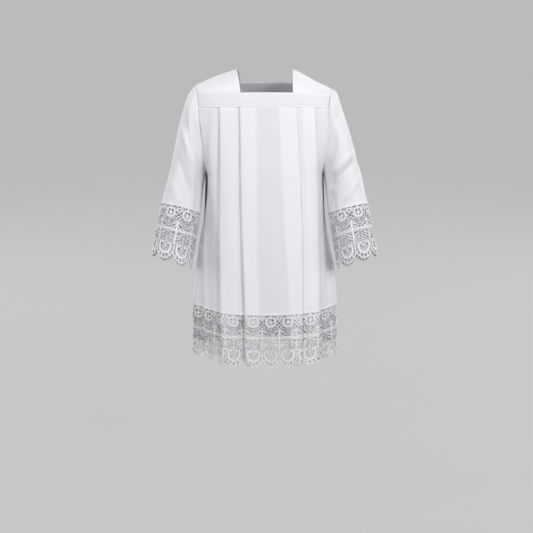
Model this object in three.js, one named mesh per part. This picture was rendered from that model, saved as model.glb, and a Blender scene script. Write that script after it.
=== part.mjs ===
// A lace-trimmed surplice in its worn form, as a hollow garment of thin cloth walls.
// Millimetres, +Z up, the front faces -Y, and left is the wearer's left, at +X.
// The origin lies midway between the neck's two upper corners, where the shoulders carry the yoke.
import * as THREE from "three";
import { mergeVertices } from "three/addons/utils/BufferGeometryUtils.js";

// Driving sizes
const clothWall = 1.2;
const yokeWall = 1.6;
const laceWall = 1.2;
const seamGap = 0.3;
const yokeSeamZ = -105; // the yoke's lower seam at the centre
const laceSeamDrop = 685; // from the yoke's lower seam to the lace, down the centre
const laceHeight = 178;
const laceRepeat = 57;

// Armhole: an oval in a plane that leans in towards its foot
const armhole = { topX: 222, topZ: -50, footX: 192, footZ: -340, halfDepth: 85, roundness: 2.3 };

// Neck: square, its half width on the shoulders and at the bands, where one side leans in.
// swell is the shoulder's rise above a straight line to the armhole, arch half the turn over it in degrees, and edgeZ the height of the bands' upper corners.
const neck = { ridgeHalf: 92, bandHalf: { left: 92, right: 78 }, swell: 3.5, arch: 65, edgeZ: -70 };

// The wearer's left shoulder sits lower than the right one and its sleeve hangs closer:
// the fall beyond the neck, how soon it is reached and how soon it fades below the shoulder
const lowShoulder = { fall: 14, within: 95, fade: 22, pull: 11, pullZ: -120, pullSpan: 75 };

// Body sections, by the drop from the yoke's lower seam.
// edgeZ is the height at the armhole or side seam, depth how far the centre stands out,
// square how full the corners are, where 2 is an ellipse, and layer the step between layers.
const frontSections = [
  { drop: 0, edgeZ: -112, halfWidth: 191, depth: 118, square: 2.6, layer: 1.9 },
  { drop: 115, edgeZ: -233, halfWidth: 191, depth: 131, square: 2.8, layer: 2.1 },
  { drop: 222, edgeZ: -341, halfWidth: 191, depth: 141, square: 3.2, layer: 2.3 },
  { drop: 320, edgeZ: -434, halfWidth: 198, depth: 147, square: 2.9, layer: 2.5 },
  { drop: 450, edgeZ: -557, halfWidth: 216, depth: 154, square: 2.7, layer: 2.8 },
  { drop: 575, edgeZ: -674, halfWidth: 234, depth: 160, square: 2.6, layer: 3.1 },
  { drop: 685, edgeZ: -776, halfWidth: 242, depth: 165, square: 2.6, layer: 3.3 },
  { drop: 863, edgeZ: -950, halfWidth: 245, depth: 170, square: 2.6, layer: 3.6 },
];
const backSections = [
  { drop: 0, edgeZ: -112, halfWidth: 191, depth: 112, square: 2.6, layer: 1.9 },
  { drop: 115, edgeZ: -233, halfWidth: 191, depth: 126, square: 2.8, layer: 2.1 },
  { drop: 222, edgeZ: -341, halfWidth: 191, depth: 132, square: 3.2, layer: 2.3 },
  { drop: 320, edgeZ: -434, halfWidth: 198, depth: 136, square: 2.9, layer: 2.5 },
  { drop: 450, edgeZ: -557, halfWidth: 216, depth: 143, square: 2.7, layer: 2.8 },
  { drop: 575, edgeZ: -674, halfWidth: 234, depth: 150, square: 2.6, layer: 3.1 },
  { drop: 685, edgeZ: -776, halfWidth: 242, depth: 156, square: 2.6, layer: 3.3 },
  { drop: 863, edgeZ: -950, halfWidth: 245, depth: 162, square: 2.6, layer: 3.6 },
];

// Knife pleats, two a side: where each fold edge shows and how far in its underlay reaches
const frontPleats = [
  { drop: 0, a: -145, aIn: -92, bIn: -26, b: -80, c: 104, cIn: 47, dIn: 120, d: 165 },
  { drop: 330, a: -148, aIn: -92, bIn: -24, b: -77, c: 121, cIn: 62, dIn: 137, d: 176 },
  { drop: 685, a: -144, aIn: -88, bIn: -18, b: -66, c: 126, cIn: 83, dIn: 143, d: 184 },
  { drop: 863, a: -142, aIn: -87, bIn: -17, b: -65, c: 126, cIn: 84, dIn: 143, d: 186 },
];
const backPleats = [
  { drop: 0, a: -158, aIn: -106, b: -92, bIn: -36, cIn: 36, c: 92, dIn: 106, d: 158 },
  { drop: 330, a: -162, aIn: -112, b: -94, bIn: -42, cIn: 42, c: 94, dIn: 112, d: 162 },
  { drop: 685, a: -164, aIn: -116, b: -92, bIn: -44, cIn: 44, c: 92, dIn: 116, d: 164 },
  { drop: 863, a: -165, aIn: -117, b: -92, bIn: -44, cIn: 44, c: 92, dIn: 117, d: 165 },
];

// Soft vertical folds beside the pleats, which run out above and below: rise is outwards
const frontFolds = [
  { x: -168, width: 12, top: -60, foot: 380, rise: 6 },
  { x: -192, width: 18, top: 190, foot: 1400, rise: -12 },
  { x: 182, width: 10, top: -60, foot: 330, rise: 4 },
  { x: 206, width: 16, top: 250, foot: 1400, rise: -9 },
];
const backFolds = [
  { x: -186, width: 13, top: 0, foot: 420, rise: 6 },
  { x: -210, width: 15, top: 260, foot: 1400, rise: -8 },
  { x: 186, width: 13, top: 0, foot: 420, rise: 6 },
  { x: 210, width: 15, top: 260, foot: 1400, rise: -8 },
];

// Sleeve rings from the armhole to the lace: outer and inner line, and the ring's own depth
const sleeveRings = [
  { along: 0.0, outX: 222, outZ: -50, inX: 192, inZ: -340, y: 0, halfDepth: 85, tilt: 0 },
  { along: 0.08, outX: 238, outZ: -63, inX: 194, inZ: -343, y: -1, halfDepth: 87, tilt: 1 },
  { along: 0.2, outX: 257, outZ: -98, inX: 196, inZ: -350, y: -4, halfDepth: 88, tilt: 3 },
  { along: 0.38, outX: 276, outZ: -168, inX: 199, inZ: -364, y: -10, halfDepth: 88, tilt: 6 },
  { along: 0.56, outX: 293, outZ: -245, inX: 203, inZ: -386, y: -18, halfDepth: 86, tilt: 10 },
  { along: 0.74, outX: 311, outZ: -325, inX: 207, inZ: -415, y: -28, halfDepth: 81, tilt: 14 },
  { along: 0.88, outX: 328, outZ: -388, inX: 210, inZ: -445, y: -37, halfDepth: 77, tilt: 17 },
  { along: 1.0, outX: 342, outZ: -440, inX: 213, inZ: -472, y: -46, halfDepth: 74, tilt: 18 },
];
const cuffFoot = { outX: 374, outZ: -604, inX: 242, inZ: -650, y: -92, halfDepth: 76, tilt: 18 };

// Long folds on each sleeve, from one place on the tube to another: turn is in degrees, 90 the front
const sleeveFolds = {
  right: [
    { fromTurn: 20, toTurn: 140, from: -0.1, to: 0.95, width: 19, rise: 7 },
    { fromTurn: 75, toTurn: 150, from: -0.15, to: 0.6, width: 17, rise: -6 },
    { fromTurn: 250, toTurn: 215, from: -0.1, to: 0.85, width: 20, rise: 6 },
  ],
  left: [
    { fromTurn: 100, toTurn: 165, from: 0.4, to: 1.0, width: 18, rise: -7 },
    { fromTurn: 45, toTurn: 110, from: -0.15, to: 0.7, width: 20, rise: 6 },
    { fromTurn: 250, toTurn: 215, from: -0.1, to: 0.85, width: 20, rise: 6 },
  ],
};

// The largest gaps of one lace repeat, measured from its middle and from the seam
const laceGaps = [
  { name: "roundel's left eye", across: -6.6, down: 16, wide: 6.6, tall: 7.2, sides: 6 },
  { name: "roundel's right eye", across: 6.6, down: 16, wide: 6.6, tall: 7.2, sides: 6 },
  { name: "foot loop on the left", across: -12, down: 164.5, wide: 6.4, tall: 6, sides: 4 },
  { name: "foot loop at the middle", across: 0, down: 168.5, wide: 7, tall: 6.4, sides: 4 },
  { name: "foot loop on the right", across: 12, down: 164.5, wide: 6.4, tall: 6, sides: 4 },
];
// The scalloped foot of one repeat: reach down at a share of the repeat, from its middle
const scallop = [
  { share: -0.5, reach: 153 },
  { share: -0.38, reach: 165 },
  { share: -0.2, reach: 174 },
  { share: 0, reach: 178 },
  { share: 0.2, reach: 174 },
  { share: 0.38, reach: 165 },
  { share: 0.5, reach: 153 },
];
// How far the repeats are moved along the flat lace, from its middle or from the cuff's outer line
const lacePhase = { front: 38, back: 0, cuff: laceRepeat / 2 };

const sideSteps = 5;
const middleSteps = 3;
const sleeveSides = 32;
const shoulderSteps = 7;
const neckSteps = 6;
const rad = THREE.MathUtils.degToRad;
const lerp = THREE.MathUtils.lerp;

// A table's column as a smooth curve that doesn't overshoot, at a value of its key column
function smooth(rows, key, column, at) {
  let i = rows.findIndex((row) => row[key] > at) - 1;
  if (i < 0) i = at < rows[0][key] ? 0 : rows.length - 2;
  const slope = (j) => (rows[j + 1][column] - rows[j][column]) / (rows[j + 1][key] - rows[j][key]);
  const bend = (j) => {
    if (j === 0 || j === rows.length - 1) return slope(Math.min(j, rows.length - 2));
    const before = slope(j - 1);
    const after = slope(j);
    return before * after <= 0 ? 0 : (2 * before * after) / (before + after);
  };
  const span = rows[i + 1][key] - rows[i][key];
  const t = (at - rows[i][key]) / span;
  const [low, high] = [rows[i][column], rows[i + 1][column]];
  return (
    low * (1 + 2 * t) * (1 - t) ** 2 +
    high * t * t * (3 - 2 * t) +
    span * (bend(i) * t * (1 - t) ** 2 - bend(i + 1) * t * t * (1 - t))
  );
}

// The armhole's half depth at a height, and where its plane lies there
function armholeAt(z) {
  const halfHeight = (armhole.topZ - armhole.footZ) / 2;
  const up = Math.min(1, Math.abs((z - armhole.footZ - halfHeight) / halfHeight));
  const depth = armhole.halfDepth * (1 - up ** armhole.roundness) ** (1 / armhole.roundness);
  const share = (armhole.topZ - z) / (armhole.topZ - armhole.footZ);
  return { x: lerp(armhole.topX, armhole.footX, share), y: depth };
}

// Keeps a point on its own side of the armhole's plane: side 1 is the sleeve's, -1 the body's
function besideArmhole(point, side) {
  const share = (armhole.topZ - point.z) / (armhole.topZ - armhole.footZ);
  const plane = lerp(armhole.topX, armhole.footX, share) + (side * seamGap) / 2;
  const reach = side > 0 ? Math.max(Math.abs(point.x), plane) : Math.min(Math.abs(point.x), plane);
  return point.setX(Math.sign(point.x) * reach);
}

// One body section: the arc that the cloth rests on, from one armhole or side seam to the other
function sectionAt(sections, drop) {
  const edgeZ = smooth(sections, "drop", "edgeZ", drop);
  const depth = smooth(sections, "drop", "depth", drop);
  const above = edgeZ > armhole.footZ;
  const halfWidth = above ? armholeAt(edgeZ).x : smooth(sections, "drop", "halfWidth", drop);
  const edgeY = above ? Math.max(armholeAt(edgeZ).y, seamGap / 2) : seamGap / 2;
  const layer = smooth(sections, "drop", "layer", drop);
  const square = smooth(sections, "drop", "square", drop);
  const centreZ = yokeSeamZ - drop;
  return { centreZ, edgeZ, depth, layer, square, ...reachOf(halfWidth - seamGap / 2, edgeY, depth, square) };
}

// A section's full reach to the side, and the angle at which its edge comes
function reachOf(edgeX, edgeY, depth, square) {
  const sine = (1 - (edgeY / depth) ** square) ** (1 / square);
  return { reach: edgeX / sine, turn: Math.asin(sine) };
}

// A point of a section at an angle, with the directions along and out of the cloth there
function restPoint(section, angle) {
  const sine = Math.sin(angle);
  const share = angle / section.turn;
  const power = section.square;
  const left = 1 - Math.abs(sine) ** power;
  const point = new THREE.Vector3(
    section.reach * sine,
    -section.depth * left ** (1 / power),
    lerp(section.centreZ, section.edgeZ, share * share),
  );
  const slope = section.depth * left ** (1 / power - 1) * Math.abs(sine) ** (power - 1) * Math.sign(sine);
  const along = new THREE.Vector3(section.reach, slope, 0).normalize();
  return { point, along, out: new THREE.Vector3(along.y, -along.x, 0) };
}

function foldDepth(folds, section, angle, drop) {
  const x = section.reach * Math.sin(angle);
  return folds.reduce((depth, fold) => {
    const share = THREE.MathUtils.clamp((drop - fold.top) / (fold.foot - fold.top), 0, 1);
    const away = (x - fold.x) / fold.width;
    return depth - fold.rise * Math.sin(Math.PI * share) ** 0.7 * Math.exp(-away * away);
  }, 0);
}

// The cloth's way across a panel at one drop: knots at an angle, on a layer counted inwards
function panelKnots(panel, drop) {
  const section = sectionAt(panel.sections, drop);
  const at = (name) => {
    return Math.asin(smooth(panel.pleats, "drop", name, drop) / section.reach);
  };
  const knots = [];
  const add = (angle, layer) => knots.push({ angle, layer });
  const ease = (t) => t * t * (3 - 2 * t);
  const span = (from, to, steps, fromLayer, toLayer) => {
    for (let i = 0; i < steps; i++) {
      const share = i / steps;
      add(lerp(from, to, share), lerp(fromLayer, toLayer, ease(share)));
    }
  };
  const pleat = (edge, inner, layers) => {
    const middle = (edge + inner) / 2;
    const way = layers[0] === 2 ? [edge, middle, inner] : [inner, middle, edge];
    way.forEach((angle) => add(angle, layers[0]));
    way.reverse().forEach((angle) => add(angle, layers[1]));
    way.reverse().forEach((angle) => add(angle, layers[2]));
  };
  span(-section.turn, at("a"), sideSteps, 0, 2);
  pleat(at("a"), at("aIn"), [2, 1, 0]);
  pleat(at("b"), at("bIn"), [2, 1, 0]);
  span(at("bIn"), at("cIn"), middleSteps, 0, 0);
  knots.splice(-middleSteps, 1);
  pleat(at("c"), at("cIn"), [0, 1, 2]);
  pleat(at("d"), at("dIn"), [0, 1, 2]);
  span(section.turn, at("d"), sideSteps, 0, 2);
  knots.push(...knots.splice(-sideSteps).reverse());
  return knots.map((knot) => {
    const rest = restPoint(section, knot.angle);
    const depth = knot.layer * section.layer + foldDepth(panel.folds, section, knot.angle, drop);
    return { ...knot, ...rest, depth };
  });
}

// Steps along the cloth between knots, as distance along the arc and depth
function stepBetween(from, to) {
  const chord = to.point.clone().sub(from.point).setZ(0).length();
  const across = chord * Math.sign(to.angle - from.angle);
  return new THREE.Vector2(across, to.depth - from.depth);
}

// The mitred way from a knot to the cloth's outer face, for a wall of a half thickness of one
function mitre(knots, i) {
  const sideOf = (step) => new THREE.Vector2(step.y, -step.x).normalize();
  const before = i > 0 ? sideOf(stepBetween(knots[i - 1], knots[i])) : null;
  const after = i < knots.length - 1 ? sideOf(stepBetween(knots[i], knots[i + 1])) : null;
  if (!before || !after) return before || after;
  const both = before.clone().add(after).normalize();
  return both.multiplyScalar(1 / both.dot(after));
}

function offSurface(knot, side, reach) {
  return knot.point
    .clone()
    .addScaledVector(knot.along, side.x * reach)
    .addScaledVector(knot.out, -(knot.depth + side.y * reach));
}

// A closed wall between an outer and an inner grid of points; rings close on themselves
function wallBetween(outer, inner, ring) {
  const rows = outer.length;
  const columns = outer[0].length;
  const points = [...outer.flat(), ...inner.flat()];
  const at = (row, column, face) => (face * rows + row) * columns + (column % columns);
  const faces = [];
  const quad = (a, b, c, d) => faces.push(a, b, c, a, c, d);
  const last = ring ? columns : columns - 1;
  for (let r = 0; r < rows - 1; r++) {
    for (let c = 0; c < last; c++) {
      quad(at(r, c, 0), at(r + 1, c, 0), at(r + 1, c + 1, 0), at(r, c + 1, 0));
      quad(at(r, c, 1), at(r, c + 1, 1), at(r + 1, c + 1, 1), at(r + 1, c, 1));
    }
  }
  for (let c = 0; c < last; c++) {
    quad(at(0, c, 1), at(0, c, 0), at(0, c + 1, 0), at(0, c + 1, 1));
    quad(at(rows - 1, c, 0), at(rows - 1, c, 1), at(rows - 1, c + 1, 1), at(rows - 1, c + 1, 0));
  }
  for (let r = 0; !ring && r < rows - 1; r++) {
    quad(at(r, 0, 0), at(r, 0, 1), at(r + 1, 0, 1), at(r + 1, 0, 0));
    quad(at(r, last, 1), at(r, last, 0), at(r + 1, last, 0), at(r + 1, last, 1));
  }
  return geometryOf(points, faces);
}

function geometryOf(points, faces) {
  const geometry = new THREE.BufferGeometry().setFromPoints(points);
  geometry.setIndex(faces);
  return mergeVertices(geometry, 1e-4);
}

// A wall on a grid of middle points, its faces moved out and in along the grid's own normals.
// Level rows are moved in their own level, and side is the side of the armhole that it stays on.
function wallOn(grid, thickness, { ring = false, levelRows = [], side = -1 }) {
  const columns = grid[0].length;
  const columnAt = (c) => (ring ? (c + columns) % columns : THREE.MathUtils.clamp(c, 0, columns - 1));
  const rowAt = (r) => THREE.MathUtils.clamp(r, 0, grid.length - 1);
  const moved = (half) =>
    grid.map((row, r) =>
      row.map((point, c) => {
        const across = row[columnAt(c + 1)].clone().sub(row[columnAt(c - 1)]);
        const down = grid[rowAt(r + 1)][c].clone().sub(grid[rowAt(r - 1)][c]);
        const out = down.cross(across).normalize();
        if (levelRows.includes(r)) out.setZ(0).divideScalar(out.lengthSq());
        return besideArmhole(point.clone().addScaledVector(out, half), side);
      }),
    );
  return wallBetween(moved(thickness / 2), moved(-thickness / 2), ring);
}

// Turns a point made for the front round to the back
const turned = (point) => point.set(-point.x, -point.y, point.z);

function panelGeometry(panel, drops) {
  const outer = [];
  const inner = [];
  for (const drop of drops) {
    const knots = panelKnots(panel, drop);
    const sides = knots.map((_, i) => mitre(knots, i));
    const byArmhole = drop <= panel.armholeDrop;
    const face = (half) =>
      knots.map((knot, i) => {
        const point = offSurface(knot, sides[i], half);
        return byArmhole ? besideArmhole(point, -1) : point;
      });
    outer.push(face(clothWall / 2));
    inner.push(face(-clothWall / 2));
  }
  if (panel.back) [outer, inner].forEach((grid) => grid.flat().forEach(turned));
  return wallBetween(outer, inner, false);
}

// How far down the scalloped foot reaches at a place along the flat lace
function scallopReach(along, phase) {
  const share = THREE.MathUtils.euclideanModulo((along - phase) / laceRepeat + 0.5, 1) - 0.5;
  const i = Math.max(1, scallop.findIndex((row) => row.share >= share));
  const [from, to] = [scallop[i - 1], scallop[i]];
  return lerp(from.reach, to.reach, (share - from.share) / (to.share - from.share));
}

// Lace as a wall with its gaps cut through. The lines are straight from the seam to the foot,
// and each strip between two of them is cut from the flat and bent into place by the given way.
function laceGeometry(lines, phase, place) {
  const points = [];
  const faces = [];
  const known = new Map();
  const vertex = (along, down) => {
    const key = along.toFixed(3) + "," + down.toFixed(3);
    if (!known.has(key)) {
      known.set(key, points.length);
      points.push(place(along, down, laceWall / 2), place(along, down, -laceWall / 2));
    }
    return known.get(key);
  };
  const edge = (a, b) => faces.push(b, a, a + 1, b, a + 1, b + 1);
  const repeats = (from, to) => {
    const first = Math.floor((from - phase) / laceRepeat) - 1;
    const count = Math.ceil((to - from) / laceRepeat) + 3;
    return Array.from({ length: count }, (_, i) => phase + (first + i) * laceRepeat);
  };
  for (let i = 0; i < lines.length - 1; i++) {
    const [from, to] = [lines[i], lines[i + 1]];
    const feet = repeats(from, to)
      .flatMap((middle) => scallop.slice(1).map((row) => middle + row.share * laceRepeat))
      .filter((along) => along > from + 2 && along < to - 2);
    const foot = [from, ...feet, to].map((along) => new THREE.Vector2(along, -scallopReach(along, phase)));
    const contour = [...foot, new THREE.Vector2(to, 0), new THREE.Vector2(from, 0)];
    const holes = [];
    for (const gap of laceGaps) {
      const margin = gap.wide / 2 + 1.2;
      for (const middle of repeats(from, to)) {
        const wanted = middle + gap.across;
        if (wanted < from || wanted >= to || to - from < 2 * margin) continue;
        const across = THREE.MathUtils.clamp(wanted, from + margin, to - margin);
        holes.push(
          Array.from({ length: gap.sides }, (_, k) => {
            const turn = Math.PI / 2 - (2 * Math.PI * k) / gap.sides;
            const x = across + (gap.wide / 2) * Math.cos(turn);
            return new THREE.Vector2(x, -gap.down + (gap.tall / 2) * Math.sin(turn));
          }),
        );
      }
    }
    const flat = [...contour, ...holes.flat()];
    const ids = flat.map((p) => vertex(p.x, -p.y));
    for (const [a, b, c] of THREE.ShapeUtils.triangulateShape(contour, holes)) {
      const turn = flat[b].clone().sub(flat[a]).cross(flat[c].clone().sub(flat[a]));
      const [p, q, r] = turn > 0 ? [ids[a], ids[b], ids[c]] : [ids[a], ids[c], ids[b]];
      faces.push(p, q, r, p + 1, r + 1, q + 1);
    }
    for (let k = 0; k < foot.length - 1; k++) edge(ids[k], ids[k + 1]);
    edge(ids[foot.length], ids[foot.length + 1]);
    if (i === 0) edge(ids[contour.length - 1], ids[0]);
    if (i === lines.length - 2) edge(ids[foot.length - 1], ids[foot.length]);
    let start = contour.length;
    for (const hole of holes) {
      hole.forEach((_, k) => edge(ids[start + k], ids[start + ((k + 1) % hole.length)]));
      start += hole.length;
    }
  }
  return geometryOf(points, faces);
}

// The hem lace follows the panel's knots on down, so that it lies in the same pleats
function hemLaceGeometry(panel, phase) {
  const seam = panelKnots(panel, laceSeamDrop);
  const lines = [0];
  seam.slice(1).forEach((knot, i) => lines.push(lines[i] + stepBetween(seam[i], knot).length()));
  const rows = new Map();
  const rowAt = (down) => {
    if (!rows.has(down)) {
      const share = (down + (1 - down / laceHeight) * seamGap) / laceHeight;
      rows.set(down, panelKnots(panel, laceSeamDrop + share * laceHeight));
    }
    return rows.get(down);
  };
  const middle = lines[lines.length - 1] / 2;
  const place = (along, down, half) => {
    const knots = rowAt(Number(down.toFixed(3)));
    const next = lines.findIndex((line) => line > along - 1e-6);
    if (Math.abs(lines[next] - along) < 1e-6) {
      return offSurface(knots[next], mitre(knots, next), half);
    }
    const [from, to] = [knots[next - 1], knots[next]];
    const share = (along - lines[next - 1]) / (lines[next] - lines[next - 1]);
    const side = stepBetween(from, to).normalize();
    side.set(side.y, -side.x);
    return offSurface(from, side, half).lerp(offSurface(to, side, half), share);
  };
  const bend = panel.back ? (...at) => turned(place(...at)) : place;
  return laceGeometry(lines, middle + phase, bend);
}

// A sleeve ring's point: turn 0 on the outer line, 90 at the front, 180 on the inner line
function ringPoint(ring, turn, rise) {
  const outer = new THREE.Vector3(ring.outX, ring.y, ring.outZ);
  const inner = new THREE.Vector3(ring.inX, ring.y, ring.inZ);
  const middle = outer.clone().add(inner).multiplyScalar(0.5);
  const upper = outer.sub(inner).multiplyScalar(0.5);
  const front = new THREE.Vector3(0, -Math.cos(rad(ring.tilt)), Math.sin(rad(ring.tilt)));
  const power = 2 / armhole.roundness;
  const shape = (value) => Math.sign(value) * Math.abs(value) ** power;
  const out = upper.clone().normalize().multiplyScalar(Math.cos(turn) * rise);
  return middle
    .addScaledVector(upper, shape(Math.cos(turn)))
    .addScaledVector(front, ring.halfDepth * shape(Math.sin(turn)) + rise * Math.sin(turn))
    .add(out);
}

function ringAt(along) {
  const columns = ["outX", "outZ", "inX", "inZ", "y", "halfDepth", "tilt"];
  return Object.fromEntries(columns.map((name) => [name, smooth(sleeveRings, "along", name, along)]));
}

function sleeveRise(folds, along, turn) {
  return folds.reduce((sum, fold) => {
    const share = (along - fold.from) / (fold.to - fold.from);
    if (share <= 0 || share >= 1) return sum;
    const away = THREE.MathUtils.euclideanModulo(
      THREE.MathUtils.radToDeg(turn) - lerp(fold.fromTurn, fold.toTurn, share) + 180,
      360,
    ) - 180;
    return sum + fold.rise * Math.sin(Math.PI * share) * Math.exp(-((away / fold.width) ** 2));
  }, 0);
}

// Even steps round a ring, by its own length, counted from the outer line towards the front
function evenTurns(ring, count) {
  const fine = 360;
  const lengths = [0];
  for (let i = 1; i <= fine; i++) {
    const step = ringPoint(ring, (2 * Math.PI * i) / fine, 0).distanceTo(
      ringPoint(ring, (2 * Math.PI * (i - 1)) / fine, 0),
    );
    lengths.push(lengths[i - 1] + step);
  }
  return Array.from({ length: count + 1 }, (_, k) => {
    const wanted = (lengths[fine] * k) / count;
    const i = Math.max(1, lengths.findIndex((length) => length >= wanted - 1e-6));
    const share = (wanted - lengths[i - 1]) / (lengths[i] - lengths[i - 1]);
    return (2 * Math.PI * (i - 1 + share)) / fine;
  });
}

// Points made for the wearer's left; the right sleeve is their mirror image, in reverse order
const mirrored = (point) => point.setX(-point.x);

function sleeveGeometry(name) {
  const stations = [0, 0.04, 0.1, 0.2, 0.32, 0.45, 0.58, 0.7, 0.8, 0.9, 1];
  const grid = stations.map((along) => {
    const ring = ringAt(along);
    const row = evenTurns(ring, sleeveSides)
      .slice(0, -1)
      .map((turn) => ringPoint(ring, turn, sleeveRise(sleeveFolds[name], along, turn)));
    if (along === 0) row.forEach((point) => point.setX(point.x + seamGap / 2));
    if (along === 1) row.forEach((point) => point.setZ(point.z + seamGap / 2));
    return row;
  });
  if (name === "right") grid.forEach((row) => row.forEach(mirrored));
  else grid.forEach((row) => row.reverse());
  return wallOn(grid, clothWall, { ring: true, side: 1 });
}

// Half of a cuff's lace, front or back, from the sleeve's edge to the scallops
function cuffLaceGeometry(name, half) {
  const seam = ringAt(1);
  const strips = 16;
  const seamTurns = evenTurns(seam, strips);
  const footTurns = evenTurns(cuffFoot, strips);
  const stripWidth = laceRepeat / 2;
  const first = half === "front" ? 0 : strips / 2;
  const start = first * stripWidth + seamGap / 2;
  const end = (first + strips / 2) * stripWidth - seamGap / 2;
  const lines = Array.from({ length: strips / 2 + 1 }, (_, i) => (first + i) * stripWidth);
  lines[0] = start;
  lines[lines.length - 1] = end;
  const middlePoint = (along, share) => {
    const i = Math.min(strips - 1, Math.floor(along / stripWidth));
    const part = along / stripWidth - i;
    const seamPoint = ringPoint(seam, lerp(seamTurns[i], seamTurns[i + 1], part), 0);
    const footPoint = ringPoint(cuffFoot, lerp(footTurns[i], footTurns[i + 1], part), 0);
    return seamPoint.lerp(footPoint, share);
  };
  const place = (along, down, out) => {
    const share = (down + (1 - down / laceHeight) * seamGap) / laceHeight;
    const line = lines.find((value) => Math.abs(value - along) < 1e-6);
    const [before, after] = line === undefined ? [0.5, 0.5] : [3, 3];
    const across = middlePoint(Math.min(along + after, strips * stripWidth), share).sub(
      middlePoint(Math.max(along - before, 0), share),
    );
    const downward = middlePoint(along, 1).sub(middlePoint(along, 0));
    return middlePoint(along, share).addScaledVector(across.cross(downward).normalize(), out);
  };
  // On the wearer's left the strips run the other way round, so the flat piece is turned over
  if (name === "left") {
    const whole = strips * stripWidth;
    const reversed = lines.map((line) => whole - line).reverse();
    return laceGeometry(reversed, lacePhase.cuff, (along, down, out) => place(whole - along, down, out));
  }
  return laceGeometry(lines, lacePhase.cuff, (along, down, out) => mirrored(place(along, down, out)));
}

// The yoke's bands: from the pleats' seam up to the neckline, and out to the armholes
function bandTop(sections) {
  const frontBand = sections === frontSections;
  const edge = armholeAt(neck.edgeZ);
  const depth = frontBand ? 100 : 94;
  const centreZ = frontBand ? -60 : -54;
  const square = sections[0].square;
  const reach = reachOf(edge.x - seamGap / 2, edge.y, depth, square);
  return { centreZ, edgeZ: neck.edgeZ, depth, square, ...reach };
}

// Where the seam of a shoulder piece has its columns, from the neck out to the armhole
function shoulderColumns(name) {
  const outer = armholeAt(neck.edgeZ).x - seamGap / 2;
  return Array.from({ length: shoulderSteps + 1 }, (_, c) =>
    lerp(neck.bandHalf[name], outer, c / shoulderSteps),
  );
}

function bandGeometry(sections) {
  const low = sectionAt(sections, 0);
  const high = bandTop(sections);
  const levels = 4;
  const [before, after] = sections === backSections ? ["left", "right"] : ["right", "left"];
  const neckline = Array.from({ length: neckSteps - 1 }, (_, c) =>
    lerp(-neck.bandHalf[before], neck.bandHalf[after], (c + 1) / neckSteps),
  );
  const columns = [
    ...shoulderColumns(before).map((x) => -x).reverse(),
    ...neckline,
    ...shoulderColumns(after),
  ];
  const grid = Array.from({ length: levels }, (_, r) =>
    columns.map((x) => {
      const share = Math.asin(x / high.reach) / high.turn;
      const up = 1 - r / (levels - 1);
      const foot = restPoint(low, share * low.turn).point;
      foot.z += seamGap;
      const bulge = Math.sin(Math.PI * up) * 2;
      const point = foot.lerp(restPoint(high, share * high.turn).point, up);
      return point.addScaledVector(restPoint(low, share * low.turn).out, bulge);
    }),
  );
  if (sections === backSections) grid.flat().forEach(turned);
  return wallOn(grid, yokeWall, { levelRows: [0, levels - 1] });
}

// The shoulder pieces: from the front band over the shoulder to the back band
function bandEdgeAt(sections, x) {
  const top = bandTop(sections);
  const angle = Math.asin(THREE.MathUtils.clamp(x / top.reach, -1, 1));
  return restPoint(top, Math.min(angle, top.turn)).point;
}

function shoulderGeometry(name) {
  const over = 14;
  const arch = rad(neck.arch);
  const grid = Array.from({ length: over + 1 }, (_, r) =>
    Array.from({ length: shoulderSteps + 1 }, (_, c) => {
      const lean = (2 * r) / over - 1;
      const sections = lean < 0 ? frontSections : backSections;
      const angle = Math.abs(lean) * arch;
      const rise = (1 - Math.cos(angle)) / (1 - Math.cos(arch));
      const outX = lerp(armhole.topX, armholeAt(neck.edgeZ).x, rise) - seamGap / 2;
      const x = lerp(lerp(neck.ridgeHalf, neck.bandHalf[name], Math.abs(lean)), outX, c / shoulderSteps);
      const seam = bandEdgeAt(sections, x);
      const away = Math.max(0, (x - neck.ridgeHalf) / (armhole.topX - neck.ridgeHalf));
      const ridgeZ = lerp(0, armhole.topZ, away) + neck.swell * Math.sin(Math.PI * away) ** 0.7;
      const z = lerp(ridgeZ, seam.z + seamGap, rise);
      const y = (seam.y * Math.sin(angle)) / Math.sin(arch);
      return new THREE.Vector3(x, lean < 0 ? y : -y, z);
    }),
  );
  if (name === "right") grid.flat().forEach(mirrored);
  else grid.reverse();
  return wallOn(grid.reverse(), yokeWall, { levelRows: [0, over] });
}

function lowerShoulder(point) {
  const away = point.x - neck.ridgeHalf;
  if (away <= 0) return;
  const low = lowShoulder;
  const closer = low.pull * Math.exp(-(((point.z - low.pullZ) / low.pullSpan) ** 2));
  const fading = Math.min(1, Math.exp((point.z - armhole.topZ) / low.fade));
  point.x -= closer * Math.min(1, away / 160) ** 3;
  point.z -= low.fall * THREE.MathUtils.smoothstep(away, 0, low.within) * fading;
}

// Materials
const whiteCloth = new THREE.MeshStandardMaterial({ color: 0xf1f1f4, roughness: 0.85, metalness: 0 });
const yokeCloth = new THREE.MeshStandardMaterial({ color: 0xf4f4f6, roughness: 0.85, metalness: 0 });
const whiteLace = new THREE.MeshStandardMaterial({ color: 0xf6f6f8, roughness: 0.75, metalness: 0 });

const surplice = new THREE.Group();

function addPiece(name, geometry, material) {
  const positions = geometry.getAttribute("position");
  const point = new THREE.Vector3();
  for (let i = 0; i < positions.count; i++) {
    lowerShoulder(point.fromBufferAttribute(positions, i));
    positions.setXYZ(i, ...point);
  }
  const mesh = new THREE.Mesh(geometry, material);
  mesh.name = name;
  surplice.add(mesh);
}

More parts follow.
